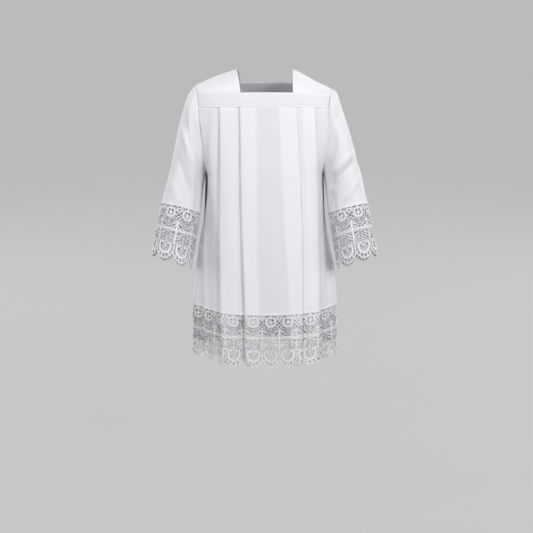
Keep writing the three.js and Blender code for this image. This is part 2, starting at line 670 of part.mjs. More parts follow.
// Panels
const panelDrops = [0, 60, 115, 165, 196, 214, 222, 320, 450, 575, laceSeamDrop];
const armholeDrop = 222;
const front = { sections: frontSections, pleats: frontPleats, folds: frontFolds, armholeDrop, back: false };
const back = { sections: backSections, pleats: backPleats, folds: backFolds, armholeDrop, back: true };
addPiece("front", panelGeometry(front, panelDrops), whiteCloth);
addPiece("back", panelGeometry(back, panelDrops), whiteCloth);

// Yoke
addPiece("yoke_front", bandGeometry(frontSections), yokeCloth);
addPiece("yoke_back", bandGeometry(backSections), yokeCloth);
addPiece("shoulder_left", shoulderGeometry("left"), yokeCloth);
addPiece("shoulder_right", shoulderGeometry("right"), yokeCloth);

// Sleeves and their lace
for (const name of ["left", "right"]) {
  addPiece("sleeve_" + name, sleeveGeometry(name), whiteCloth);
  for (const half of ["front", "back"]) {
    addPiece("cuff_lace_" + name + "_" + half, cuffLaceGeometry(name, half), whiteLace);
  }
}

// Hem lace
addPiece("hem_lace_front", hemLaceGeometry(front, lacePhase.front), whiteLace);
addPiece("hem_lace_back", hemLaceGeometry(back, lacePhase.back), whiteLace);

export default surplice;
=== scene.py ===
import math

import bpy
import numpy as np
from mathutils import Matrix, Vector
from mathutils.geometry import delaunay_2d_cdt


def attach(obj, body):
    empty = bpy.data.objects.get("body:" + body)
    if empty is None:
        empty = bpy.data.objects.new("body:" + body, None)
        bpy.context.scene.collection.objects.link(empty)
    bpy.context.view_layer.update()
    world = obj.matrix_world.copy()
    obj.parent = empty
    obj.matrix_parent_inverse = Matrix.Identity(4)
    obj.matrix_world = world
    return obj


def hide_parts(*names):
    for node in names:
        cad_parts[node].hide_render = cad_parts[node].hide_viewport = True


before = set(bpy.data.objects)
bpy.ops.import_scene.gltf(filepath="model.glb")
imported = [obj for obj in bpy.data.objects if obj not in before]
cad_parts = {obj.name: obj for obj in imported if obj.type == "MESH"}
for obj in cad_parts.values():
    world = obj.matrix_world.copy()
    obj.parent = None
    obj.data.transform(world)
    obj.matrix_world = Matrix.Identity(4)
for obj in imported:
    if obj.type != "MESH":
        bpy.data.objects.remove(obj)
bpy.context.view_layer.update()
mm = 0.001  # the tables are in millimetres
print("frame loaded")

# Camera: seen from the front and a little above
view = {"place": (0.0066, -6.0, 0.79), "pitch": 13.63, "lens": 123.75, "sensor": 36.0}
camera = bpy.data.cameras.new("camera")
camera.lens, camera.sensor_width = view["lens"], view["sensor"]
camera.clip_end = 200
cameraObject = bpy.data.objects.new("camera", camera)
cameraObject.location = view["place"]
cameraObject.rotation_euler = (math.radians(90 - view["pitch"]), 0, 0)
bpy.context.scene.collection.objects.link(cameraObject)
bpy.context.scene.camera = cameraObject

# The worn form, as the solids have it
form = {
    "seamGap": 0.06,  # the pieces are sewn edge to edge
    "yokeSeamZ": -105,
    "laceSeamDrop": 685,
    "laceHeight": 178,
    "laceRepeat": 57,
    "armhole": {"topX": 222, "topZ": -50, "footX": 192, "footZ": -340, "footDrop": 222,
                "halfDepth": 85, "roundness": 2.3},
    "neck": {"ridgeHalf": 92, "bandHalf": {"left": 92, "right": 78}, "swell": 3.5, "arch": 65, "edgeZ": -70},
    "lowShoulder": {"fall": 14, "within": 95, "fade": 22,
                    "pull": 11, "pullZ": -120, "pullSpan": 75, "pullWithin": 160},
}


def tableOf(heading, *rows):
    return {name: np.array(column, float) for name, column in zip(heading.split(), zip(*rows))}


# A soft crease, along a way of (x, z) points as seen from the front or the back, in mm.
# One that runs to the hem doesn't fade out there. One at a pleat's fold is deepest at the fold, and nothing
# of it lies beyond.
def crease(width, rise, *way, toHem=False, fold=None):
    return {"width": width, "rise": rise, "way": np.array(way, float), "toHem": toHem, "fold": fold}


# The body's outline at each drop below the yoke, with the depth of one layer of a pleat
sections = tableOf(
    "drop edgeZ halfWidth frontDepth backDepth square layer",
    (0, -112, 191, 118, 112, 2.6, 1.9),
    (115, -233, 191, 131, 126, 2.8, 2.1),
    (222, -341, 191, 141, 132, 3.2, 2.3),
    (320, -434, 198, 147, 136, 2.9, 2.5),
    (450, -557, 216, 154, 143, 2.7, 2.8),
    (575, -674, 234, 160, 150, 2.6, 3.1),
    (685, -776, 242, 165, 156, 2.6, 3.3),
    (863, -950, 245, 170, 162, 2.6, 3.6),
)
frontPanel = {
    "depth": "frontDepth",
    "top": {"depth": 100, "centreZ": -60},  # the band's upper edge
    "facing": np.array([1, 1, 1]),
    "wobble": 1.1,  # how far the pleats' edges wander, in mm
    "pleats": tableOf(
        "drop a aIn bIn b c cIn dIn d",
        (0, -145, -92, -26, -80, 104, 47, 120, 165),
        (330, -148, -92, -24, -77, 121, 62, 137, 176),
        (685, -144, -88, -18, -66, 126, 83, 143, 184),
        (863, -142, -87, -17, -65, 126, 84, 143, 186),
    ),
    "folds": tableOf(
        "x width top foot rise",
        (-168, 12, -60, 380, 6),
        (-192, 18, 190, 1400, -12),
        (-229, 8, 360, 1500, -5),
        (182, 10, -60, 330, 4),
        (206, 16, 250, 1400, -9),
        (233, 8, 420, 1500, 4),
    ),
    "creases": {
        "front": [
            # beside the fold of the first pleat
            crease(11, -8.0, (-145, -80), (-147, -300), (-148, -540), fold="left"),
            crease(10, -8.6, (-162, -430), (-164, -640), (-160, -940), toHem=True),
            crease(8, 5.0, (-178, -150), (-176, -300), (-181, -460)),
            crease(18, -5.8, (-196, -340), (-200, -560), (-202, -740), (-198, -940), toHem=True),
            crease(7.5, -10.5, (-212, -500), (-218, -620), (-217, -760), (-214, -940), toHem=True),
            crease(7, 4.0, (-235, -560), (-238, -720), (-237, -940), toHem=True),
            # beside the fold of the second pleat, which opens towards the hem
            crease(12, -8.0, (-80, -60), (-77, -444), (-74, -600), fold="left"),
            crease(13, -10.0, (-77, -444), (-66, -776), (-65, -950), toHem=True, fold="left"),
            crease(12, 3.4, (-66, -520), (-58, -720), (-55, -950), toHem=True),
            crease(17, 1.9, (-120, -300), (-116, -480), (-121, -640)),
            crease(24, 2.0, (14, -420), (22, -600), (18, -760)),
            crease(8, 2.5, (152, -130), (158, -300), (161, -430)),
            crease(7, -3.4, (136, -360), (141, -560), (146, -950), toHem=True),
            crease(7, -4.0, (184, -150), (183, -300), (190, -470)),
            crease(11, -6.2, (203, -330), (206, -520), (214, -760)),
            crease(8, 4.0, (193, -480), (196, -680), (199, -940), toHem=True),
        ],
    },
}
backPanel = {
    "depth": "backDepth",
    "top": {"depth": 94, "centreZ": -54},
    "facing": np.array([-1, -1, 1]),  # its tables are drawn as seen from the back
    "wobble": 1.4,
    "pleats": tableOf(
        "drop a aIn b bIn cIn c dIn d",
        (0, -158, -106, -92, -36, 36, 92, 106, 158),
        (330, -162, -112, -94, -42, 42, 94, 112, 162),
        (685, -164, -116, -92, -44, 44, 92, 116, 164),
        (863, -165, -117, -92, -44, 44, 92, 117, 165),
    ),
    "folds": tableOf(
        "x width top foot rise",
        (-186, 13, 0, 420, 6),
        (-210, 15, 260, 1400, -8),
        (-232, 8, 400, 1500, 5),
        (186, 13, 0, 420, 6),
        (210, 15, 260, 1400, -8),
        (230, 8, 380, 1500, -5),
    ),
    "creases": {
        "back": [
            crease(22, 2.2, (-120, -160), (-126, -330), (-122, -520)),
            crease(24, 2.2, (60, -220), (52, -400), (56, -600)),
            crease(26, -2.5, (-10, -300), (-4, -500), (-12, -700)),
            crease(9, -6.2, (176, -140), (180, -320), (186, -520)),
            crease(11, 5.3, (192, -300), (198, -520), (204, -760)),
            crease(9, -6.8, (-176, -150), (-182, -340), (-186, -540)),
            crease(11, -6.2, (-196, -380), (-203, -600), (-208, -940), toHem=True),
            crease(9, -7.1, (100, -420), (104, -650), (102, -950), toHem=True),
            crease(9, -5.9, (-103, -480), (-108, -690), (-106, -950), toHem=True),
        ],
    },
}
sleeveRings = tableOf(
    "along outX outZ inX inZ y halfDepth tilt",
    (0.0, 222, -50, 192, -340, 0, 85, 0),
    (0.08, 238, -63, 194, -343, -1, 87, 1),
    (0.2, 257, -98, 196, -350, -4, 88, 3),
    (0.38, 276, -168, 199, -364, -10, 88, 6),
    (0.56, 293, -245, 203, -386, -18, 86, 10),
    (0.74, 311, -325, 207, -415, -28, 81, 14),
    (0.88, 328, -388, 210, -445, -37, 77, 17),
    (1.0, 342, -440, 213, -472, -46, 74, 18),
)
cuffFoot = {"outX": 374, "outZ": -604, "inX": 242, "inZ": -650, "y": -92, "halfDepth": 76, "tilt": 18}


# A table's column as a smooth curve that doesn't overshoot
def columnAt(keys, values, at):
    slopes = np.diff(values) / np.diff(keys)
    bends = np.concatenate([slopes[:1], np.zeros(len(keys) - 2), slopes[-1:]])
    both = slopes[:-1] * slopes[1:]
    safe = np.where(both > 0, slopes[:-1] + slopes[1:], 1)
    bends[1:-1] = np.where(both > 0, 2 * both / safe, 0)
    i = np.clip(np.searchsorted(keys, at, side="right") - 1, 0, len(keys) - 2)
    span = keys[i + 1] - keys[i]
    t = (at - keys[i]) / span
    low = values[i] * (1 + 2 * t) * (1 - t) ** 2 + span * bends[i] * t * (1 - t) ** 2
    high = values[i + 1] * t * t * (3 - 2 * t) - span * bends[i + 1] * t * t * (1 - t)
    return low + high


# A table's other columns, at places in its first one
def rowAt(table, at):
    key, *names = table
    return {name: columnAt(table[key], table[name], at) for name in names}


def lerp(start, end, share):
    return start + (end - start) * share


def eased(share):
    return share * share * (3 - 2 * share)


# A field's values between the rows and columns of its grid
def blended(field, row, column):
    r = np.clip(row.astype(int), 0, field.shape[0] - 2)
    c = np.clip(column.astype(int), 0, field.shape[1] - 2)
    s, t = (column - c)[:, None], (row - r)[:, None]
    upper = field[r, c] * (1 - s) + field[r, c + 1] * s
    lower = field[r + 1, c] * (1 - s) + field[r + 1, c + 1] * s
    return upper * (1 - t) + lower * t


def lengthsAlong(line):
    return np.concatenate([[0], np.cumsum(np.linalg.norm(np.diff(line, axis=0), axis=1))])


def armholeAt(z):
    hole = form["armhole"]
    halfHeight = (hole["topZ"] - hole["footZ"]) / 2
    up = np.minimum(1, np.abs((z - hole["footZ"] - halfHeight) / halfHeight))
    share = (hole["topZ"] - z) / (hole["topZ"] - hole["footZ"])
    depth = hole["halfDepth"] * (1 - up ** hole["roundness"]) ** (1 / hole["roundness"])
    return lerp(hole["topX"], hole["footX"], share), depth


# Keeps points on their own side of the armhole's plane: side 1 is the sleeve's, -1 the body's
def besideArmhole(points, side):
    plane = armholeAt(points[..., 2])[0] + side * form["seamGap"] / 2
    reach = np.abs(points[..., 0])
    reach = np.maximum(reach, plane) if side > 0 else np.minimum(reach, plane)
    points[..., 0] = np.sign(points[..., 0]) * reach
    return points


def lowerShoulder(points):
    low, hole = form["lowShoulder"], form["armhole"]
    away = np.maximum(points[..., 0] - form["neck"]["ridgeHalf"], 0)
    closer = low["pull"] * np.exp(-(((points[..., 2] - low["pullZ"]) / low["pullSpan"]) ** 2))
    fading = np.minimum(1, np.exp((points[..., 2] - hole["topZ"]) / low["fade"]))
    share = np.clip(away / low["within"], 0, 1)
    points[..., 0] -= closer * np.minimum(1, away / low["pullWithin"]) ** 3
    points[..., 2] -= low["fall"] * eased(share) * fading
    return points


# Which way a grid of points faces: rows run down and columns to the right, seen from outside
def facingOf(points):
    across = np.gradient(points, axis=1)
    down = np.gradient(points, axis=0)
    facing = np.cross(down, across)
    return facing / np.maximum(np.linalg.norm(facing, axis=-1, keepdims=True), 1e-9)


creasing = {
    "endFade": 0.35,  # the share of its way over which a crease begins or ends
    "foldRamp": 3,  # mm over which one at a fold comes to its depth
    "turn": 2.5,  # how quickly a crease goes as the cloth turns away from its side
}


def creaseRise(points, facing, creases):
    rise = np.zeros(points.shape[:-1])
    seen = points[..., [0, 2]]
    for side, lines in creases.items():
        turned = np.clip(creasing["turn"] * (-1 if side == "front" else 1) * facing[..., 1], 0, 1)
        for line in lines:
            way = line["way"]
            starts = lengthsAlong(way)
            nearest = np.full(rise.shape, 1e9)
            share = np.zeros(rise.shape)
            for i, length in enumerate(np.diff(starts)):
                step = (way[i + 1] - way[i]) / length
                reach = np.clip((seen - way[i]) @ step, 0, length)
                distance = np.linalg.norm(seen - way[i] - reach[..., None] * step, axis=-1)
                closer = distance < nearest
                nearest = np.where(closer, distance, nearest)
                share = np.where(closer, (starts[i] + reach) / starts[-1], share)
            fade = np.minimum(1, share / creasing["endFade"])
            if not line["toHem"]:
                fade = fade * np.minimum(1, (1 - share) / creasing["endFade"])
            fade = eased(fade)
            if line["fold"]:
                foldX = np.interp(-points[..., 2], -way[:, 1], way[:, 0])
                beside = -1 if line["fold"] == "left" else 1
                fade = fade * np.clip(0.5 + beside * (points[..., 0] - foldX) / creasing["foldRamp"], 0, 1)
            rise += line["rise"] * fade * turned * np.exp(-((nearest / line["width"]) ** 2))
    return rise


def sectionAt(panel, drop):
    section = rowAt(sections, drop)
    depth = section[panel["depth"]]
    holeX, holeY = armholeAt(section["edgeZ"])
    above = section["edgeZ"] > form["armhole"]["footZ"]
    half = form["seamGap"] / 2
    edgeX = np.where(above, holeX, section["halfWidth"]) - half
    edgeY = np.where(above, np.maximum(holeY, half), half)
    sine = (1 - (edgeY / depth) ** section["square"]) ** (1 / section["square"])
    section.update(depth=depth, centreZ=form["yokeSeamZ"] - drop, reach=edgeX / sine, turn=np.arcsin(sine))
    return section


def restPoints(section, angle):
    sine, power = np.sin(angle), section["square"]
    left = np.maximum(1 - np.abs(sine) ** power, 1e-9)
    share = angle / section["turn"]
    z = lerp(section["centreZ"], section["edgeZ"], share * share)
    point = np.stack([section["reach"] * sine, -section["depth"] * left ** (1 / power), z], -1)
    slope = section["depth"] * left ** (1 / power - 1) * np.abs(sine) ** (power - 1) * np.sign(sine)
    reach = section["reach"] + 0 * slope
    length = np.hypot(reach, slope)
    out = np.stack([slope / length, -reach / length, 0 * length], -1)
    return point, out, length * np.cos(angle)


pleating = {
    "fineness": 4.6,  # mm between columns
    "foldColumns": 6,  # round each fold
    "wander": ((0.6, 61, 1.7), (0.4, 27, 2.9)),  # waves of the edges: a share, a span and each edge's shift
    "wanderFrom": 160,  # mm below the yoke where the edges wander fully
    "calmBelow": 60,  # mm below the lace's seam where their wander would end, if it had no least
    "calmSpan": 200,  # mm over which it fades
    "leastWander": 0.35,
    "foldSwell": 0.7,  # how full a fold of the hanging cloth is between its ends, less being fuller
    # how sharply a pleat's edges show in the sheer cloth, in radians round the body
    "outerEdge": 0.010,
    "innerEdge": 0.034,
    "betweenEdge": 0.02,
    "betweenLayers": 0.6,  # between the last two pleats
}


# The cloth's way across a panel at each drop: in and out of the knife pleats, round their folds
def pleatedGrid(panel, drop):
    section = {name: values[:, None] for name, values in sectionAt(panel, drop).items()}
    edges = {}
    for k, (name, x) in enumerate(rowAt(panel["pleats"], drop).items()):
        wander = sum(share * np.sin(drop / span + shift * k) for share, span, shift in pleating["wander"])
        calm = (form["laceSeamDrop"] + pleating["calmBelow"] - drop) / pleating["calmSpan"]
        fades = np.clip(drop / pleating["wanderFrom"], 0, 1) * np.clip(calm, pleating["leastWander"], 1)
        edges[name] = np.arcsin((x + panel["wobble"] * wander * fades)[:, None] / section["reach"])
    edges["left"], edges["right"] = -section["turn"], section["turn"]
    angles, layers, folded = [], [], []

    def run(start, end, layerFrom, layerTo, soft=False):
        width = abs(float(np.mean((edges[end] - edges[start]) * section["reach"])))
        count = max(2, round(width / pleating["fineness"]))
        share = np.arange(count) / count
        bend = eased(share) if soft else share
        angles.append(lerp(edges[start], edges[end], share))
        layers.append(np.broadcast_to(lerp(layerFrom, layerTo, bend), (len(drop), count)))
        folded.extend([0] * count)

    def fold(edge, layerFrom, layerTo, side):
        count = pleating["foldColumns"]
        turn = np.pi * np.arange(count) / count
        scale = restPoints(section, edges[edge])[2]
        bulge = side * np.sin(turn) * section["layer"] / 2
        angles.append(edges[edge] + bulge / scale)
        layers.append(np.broadcast_to(lerp(layerFrom, layerTo, (1 - np.cos(turn)) / 2), (len(drop), count)))
        folded.extend([1 / count] * count)

    def pleat(edge, inner, outwards):
        first, second = (edge, inner) if outwards else (inner, edge)
        deep, shallow = (2, 0) if outwards else (0, 2)
        run(first, second, deep, deep)
        fold(second, deep, 1, 1)
        run(second, first, 1, 1)
        fold(first, 1, shallow, -1)
        run(first, second, shallow, shallow)

    run("left", "a", 0, 2, True)
    pleat("a", "aIn", True)
    run("aIn", "b", 0, 2)
    pleat("b", "bIn", True)
    run("bIn", "cIn", 0, 0)
    pleat("c", "cIn", False)
    run("c", "dIn", 2, 0)
    pleat("d", "dIn", False)
    run("d", "right", 2, 0, True)
    angles.append(edges["right"])
    layers.append(np.zeros((len(drop), 1)))
    folded.append(0)
    angle, layer = np.concatenate(angles, 1), np.concatenate(layers, 1)
    point, out, _ = restPoints(section, angle)
    depth = layer * section["layer"]
    for x, width, top, foot, rise in zip(*panel["folds"].values()):
        share = np.clip((drop - top) / (foot - top), 0, 1)
        strength = rise * np.sin(np.pi * share)[:, None] ** pleating["foldSwell"]
        depth = depth - strength * np.exp(-(((point[..., 0] - x) / width) ** 2))
    rest = point.copy()
    point -= out * depth[..., None]
    chord = np.linalg.norm(np.diff(rest[..., :2], axis=1), axis=-1)
    step = np.hypot(chord, np.diff(depth, axis=1))
    folded = np.array(folded)[:-1]
    step = np.where(folded > 0, folded * section["layer"], step)
    along = np.concatenate([np.zeros((len(drop), 1)), np.cumsum(step, 1)], 1)
    return point, out, along, stackedLayers(edges, angle)


# How many layers of cloth lie at each place, so that the pleats look whiter than single cloth.
# A pleat's outer fold ends sharply, and its inner one shows softly through the cloth.
def stackedLayers(edges, angle):
    def within(outer, inner):
        inward = np.sign(np.mean(inner - outer))
        sharp = np.clip(inward * (angle - outer) / pleating["outerEdge"], 0, 1)
        return sharp * eased(np.clip(0.5 + inward * (inner - angle) / pleating["innerEdge"], 0, 1))

    def past(distance):
        return np.clip(distance / pleating["betweenEdge"], 0, 1)

    between = past(angle - edges["c"]) * past(edges["dIn"] - angle)
    pleats = sum(within(edges[name], edges[name + "In"]) for name in "abcd")
    return np.maximum(pleats, pleating["betweenLayers"] * between)


# Meshes
def meshOf(name, points, faces, curved=True):
    mesh = bpy.data.meshes.new(name)
    mesh.from_pydata((points * mm).tolist(), [], faces.tolist() if hasattr(faces, "tolist") else faces)
    if curved:
        mesh.polygons.foreach_set("use_smooth", [True] * len(mesh.polygons))
    piece = bpy.data.objects.new(name, mesh)
    bpy.context.scene.collection.objects.link(piece)
    return piece


def gridFaces(rows, columns):
    index = np.arange(rows * columns).reshape(rows, columns)
    corners = [index[:-1, :-1], index[1:, :-1], index[1:, 1:], index[:-1, 1:]]
    return np.stack(corners, -1).reshape(-1, 4)


def keep(piece, name, kind, values):
    attribute = piece.data.attributes.new(name, kind, "POINT")
    field = "vector" if kind == "FLOAT_VECTOR" else "value"
    attribute.data.foreach_set(field, np.ravel(values).astype(np.float32))


def settle(piece, slot, *nodes):
    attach(piece, "root")
    if nodes:
        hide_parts(*nodes)


# A shell of cloth on a grid of points, with its flat place and its number of layers kept for the finish
def clothShell(name, node, points, thickness, flat, layers):
    rows, columns = points.shape[:2]
    piece = meshOf(name, points.reshape(-1, 3), gridFaces(rows, columns))
    keep(piece, "flatPlace", "FLOAT_VECTOR", np.concatenate([flat, np.zeros((rows, columns, 1))], -1) * mm)
    keep(piece, "layers", "FLOAT", layers)
    shell = piece.modifiers.new("shell", "SOLIDIFY")
    shell.thickness, shell.offset = thickness * mm, 0
    piece.data.materials.append(cloth)
    settle(piece, "cloth", node)
    return piece


# Materials
def nodesOf(name, **sockets):
    material = bpy.data.materials.new(name)
    material.use_nodes = True
    tree = material.node_tree
    shader = tree.nodes["Principled BSDF"]
    for socket, value in sockets.items():
        shader.inputs[socket.replace("_", " ")].default_value = value
    return material, tree, shader


def addNode(tree, kind, inputs, output=0, **settings):
    node = tree.nodes.new("ShaderNode" + kind)
    for name, value in settings.items():
        setattr(node, name, value)
    for name, value in inputs.items():
        if isinstance(value, bpy.types.NodeSocket):
            tree.links.new(value, node.inputs[name])
        else:
            node.inputs[name].default_value = value
    return node.outputs[output]


def attributeOf(tree, name, output="Fac"):
    return addNode(tree, "Attribute", {}, output, attribute_name=name)


def combined(tree, operation, first, second):
    return addNode(tree, "Math", {0: first, 1: second}, operation=operation)


def mixed(tree, share, first, second, **settings):
    return addNode(tree, "Mix", {0: share, 6: first, 7: second}, 2, data_type="RGBA", **settings)


def noiseOn(tree, vector, scale, detail):
    return addNode(tree, "TexNoise", {"Vector": vector, "Scale": scale, "Detail": detail})


def bandsOn(tree, vector, direction, inputs):
    return addNode(tree, "TexWave", {"Vector": vector, **inputs}, "Fac", bands_direction=direction)


# A wave texture's scale for bands that lie this far apart, in metres
def bandScale(apart):
    return 2 * math.pi / (20 * apart)


clothFinish = {
    "white": (0.86, 0.865, 0.885, 1),
    "single": (0.755, 0.765, 0.795, 1),
    "shade": (0.80, 0.81, 0.835, 1),
    "roughness": 0.82,
    "threadPitch": 0.0007,  # in metres
    "weave": 0.00004,
    "slub": 0.00012,
    "grains": ((420, 26, 1), (24, 460, 1)),  # how fine the slubs are along each set of threads
    "clouds": 14.0,
}


def clothMaterial(name, finish):
    material, tree, shader = nodesOf(name, Roughness=finish["roughness"], Specular_IOR_Level=0.25,
                                     Sheen_Weight=0.12, Sheen_Roughness=0.6)
    flat, layers = attributeOf(tree, "flatPlace", "Vector"), attributeOf(tree, "layers")
    grains = [addNode(tree, "Mapping", {"Vector": flat, "Scale": scale}) for scale in finish["grains"]]
    threads = combined(tree, "ADD", *(noiseOn(tree, grain, 1.0, 4.0) for grain in grains))
    cloudy = combined(tree, "ADD", threads, noiseOn(tree, flat, finish["clouds"], 3.0))
    # Each layer that lies over the first whitens the cloth, and a welt counts as more than one; a value below
    # nothing is painted shade, darker than single cloth
    stacked = mixed(tree, layers, finish["single"], finish["white"], clamp_factor=False)
    amount = addNode(tree, "MapRange", {"Value": cloudy, "From Min": 1.1, "From Max": 1.9, "To Max": 0.5})
    tree.links.new(mixed(tree, amount, stacked, finish["shade"]), shader.inputs["Base Color"])
    bands = {"Scale": bandScale(finish["threadPitch"]), "Distortion": 0.8, "Detail": 1.0, "Detail Scale": 0.4}
    weave = combined(tree, "MAXIMUM", *(bandsOn(tree, flat, axis, bands) for axis in "XY"))
    fine = addNode(tree, "Bump", {"Height": weave, "Distance": finish["weave"], "Strength": 0.6})
    slubs = {"Height": threads, "Distance": finish["slub"], "Strength": 0.5, "Normal": fine}
    tree.links.new(addNode(tree, "Bump", slubs), shader.inputs["Normal"])
    return material


laceFinish = {
    "white": (0.92, 0.925, 0.94, 1),
    "ground": (0.76, 0.765, 0.79, 1),
    "shade": (0.66, 0.665, 0.69, 1),
    # hole: painted shade, the dark of a shadowed inside seen through the net's fine holes
    "hole": (0.05, 0.05, 0.06, 1),
    "net": 0.0022,  # from one fine hole of the ground to the next, in metres
    "stackedWhite": 0.72,  # how far the lace on lace in a pleat hides the net's holes
    "roughness": 0.7,
    "twist": 330.0,
    "fuzz": 900.0,
    "relief": 0.00022,
}


def laceMaterial(name, finish):
    material, tree, shader = nodesOf(name, Roughness=finish["roughness"], Specular_IOR_Level=0.3,
                                     Sheen_Weight=0.1)
    flat = attributeOf(tree, "flatPlace", "Vector")
    twist = bandsOn(tree, flat, "DIAGONAL", {"Scale": finish["twist"], "Distortion": 1.2, "Detail": 2.0})
    height = combined(tree, "ADD", twist, noiseOn(tree, flat, finish["fuzz"], 3.0))
    # Painted shade: the lace darkens towards its shade colour where the twist's bump is low, in the hollows
    # of the thread
    amount = addNode(tree, "MapRange", {"Value": height, "From Min": 0.3, "From Max": 1.3,
                                        "To Min": 0.75, "To Max": 0.0})
    dense = combined(tree, "MAXIMUM", attributeOf(tree, "raised"), attributeOf(tree, "layers"))
    colour = mixed(tree, amount, mixed(tree, dense, finish["ground"], finish["white"]), finish["shade"])
    # The ground is a net, too fine to cut, with its holes on the slant. The holes are painted near black, as
    # painted shade for the garment's shadowed inside seen through them
    slant = addNode(tree, "Mapping", {"Vector": flat, "Rotation": (0, 0, math.radians(45))})
    net = {"Scale": bandScale(finish["net"])}
    both = combined(tree, "MINIMUM", *(bandsOn(tree, slant, axis, net) for axis in "XY"))
    holes = addNode(tree, "MapRange", {"Value": both, "From Min": 0.42, "From Max": 0.62})
    paintedHoleShade = combined(tree, "MULTIPLY", holes, combined(tree, "SUBTRACT", 1.0, dense))
    tree.links.new(mixed(tree, paintedHoleShade, colour, finish["hole"]), shader.inputs["Base Color"])
    bump = addNode(tree, "Bump", {"Height": height, "Distance": finish["relief"], "Strength": 0.8})
    tree.links.new(bump, shader.inputs["Normal"])
    return material


cloth = clothMaterial("white_cloth", clothFinish)
lace = laceMaterial("white_lace", laceFinish)
thread = laceMaterial("white_thread", {**laceFinish, "ground": laceFinish["white"]})
print("materials made")


# Prints a sheet's cut: its width and length in mm, and its area in square mm
def cutAs(piece, width, length, area):
    print(piece.name, "cut", round(width, 1), "by", round(length, 1), "mm, area", round(area * 1e-6, 4), "m2")


# The same for a grid that was cut to the shape it has: its longest row, its longest column and its own area
def cutFromGrid(piece, points):
    across, down = np.diff(points, axis=1), np.diff(points, axis=0)
    width = np.linalg.norm(across, axis=-1).sum(1).max()
    length = np.linalg.norm(down, axis=-1).sum(0).max()
    area = np.linalg.norm(np.cross(across[:-1], down[:, :-1]), axis=-1).sum()
    cutAs(piece, float(width), float(length), float(area))


# Welts: the pieces' doubled edges, each with a groove where its stitches draw it in, all in mm
welting = {
    "bevel": 0.9,
    "grooveAt": 1.1,
    "groove": 0.6,
    "grooveShare": 0.45,  # of the welt's height
    "rows": (1.2, 0.3, -0.5, -1.4),  # where a grid has its own rows, from the welt's edge
    "lastRow": 1.2,  # and from the piece's
    "before": 3,  # mm from the last even step to the first of these rows
}


# Even steps from 0 to the length, with some closer ones before its end for a stitched edge
def stepsTo(length, count, welt):
    edge = np.array([*(welt + row for row in welting["rows"]), welting["lastRow"], 0])
    return np.concatenate([np.linspace(0, length - edge[0] - welting["before"], count), length - edge])


def weltRise(distance, width, height):
    inside = np.clip((width - distance) / welting["bevel"], 0, 1)
    stitched = np.exp(-(((distance - width + welting["grooveAt"]) / welting["groove"]) ** 2))
    return height * (inside - welting["grooveShare"] * stitched * inside)


# Body panels
panels = {
    "rows": 84,
    "thickness": 0.7,
    "hemWelt": 4.5,
    "armholeWelt": 6.0,
    "welt": 0.45,
    "weltFoot": 215,  # the drop at which the armhole's welt has run out, over the last weltFade
    "weltFade": 12,
    "stitchFoot": 218,
    "hemLayers": 1.3,
    "armholeLayers": 0.8,
}


def panelGrid(panel, drop):
    points, out, along, covered = pleatedGrid(panel, drop)
    facing = panel["facing"]
    points = points + out * creaseRise(points * facing, out * facing, panel["creases"])[..., None]
    aboveArmhole = drop <= form["armhole"]["footDrop"]
    points[aboveArmhole] = besideArmhole(points[aboveArmhole], -1)
    return points * facing, along, covered


panelDrop = stepsTo(form["laceSeamDrop"], panels["rows"], panels["hemWelt"])


def bodyPanel(name, panel, node):
    drop, seamDrop = panelDrop, form["laceSeamDrop"]
    points, along, covered = panelGrid(panel, drop)
    fading = np.clip((panels["weltFoot"] - drop) / panels["weltFade"], 0, 1)[:, None]
    fromSide = np.minimum(along, along[:, -1:] - along)
    beside = fading * weltRise(fromSide, panels["armholeWelt"], panels["welt"])
    hem = weltRise(seamDrop - drop, panels["hemWelt"], panels["welt"])[:, None]
    points = lowerShoulder(points + facingOf(points) * np.maximum(beside, hem)[..., None])
    flat = np.stack([along, np.broadcast_to(drop[:, None], along.shape)], -1)
    doubled = (hem > 0) * panels["hemLayers"] + (beside > 0) * panels["armholeLayers"]
    piece = clothShell(name, node, points, panels["thickness"], flat, np.maximum(covered, doubled))
    widths = along[:, -1]
    area = float(np.sum((widths[1:] + widths[:-1]) / 2 * np.diff(drop)))
    cutAs(piece, float(widths.max()), seamDrop, area)
    return points


frontGrid = bodyPanel("front_cloth", frontPanel, "front")
backGrid = bodyPanel("back_cloth", backPanel, "back")


# Yoke: the bands above the pleats and the pieces over the shoulders
yoke = {
    "thickness": 0.9,
    "welt": 0.55,
    "topWelt": 5.0,
    "footWelt": 3.0,
    "neckWelt": 4.0,
    "bandGrid": (34, 170),
    "shoulderGrid": (96, 60),
    "bulge": 2,  # of a band's middle height
    "wave": 0.35,
    "ripple": 0.5,
    # the band's value below nothing is painted shade: it darkens the band below single cloth, against the
    # light of the top lamp
    "layers": {"band": -0.1, "bandWelt": 0.9, "shoulder": 0.9, "neckWelt": 1.5},
}


def bandTop(panel):
    edgeZ, square, depth = form["neck"]["edgeZ"], sections["square"][0], panel["top"]["depth"]
    edgeX, edgeY = armholeAt(edgeZ)
    sine = (1 - (edgeY / depth) ** square) ** (1 / square)
    reach = (edgeX - form["seamGap"] / 2) / sine
    return {**panel["top"], "edgeZ": edgeZ, "square": square, "reach": reach, "turn": np.arcsin(sine)}


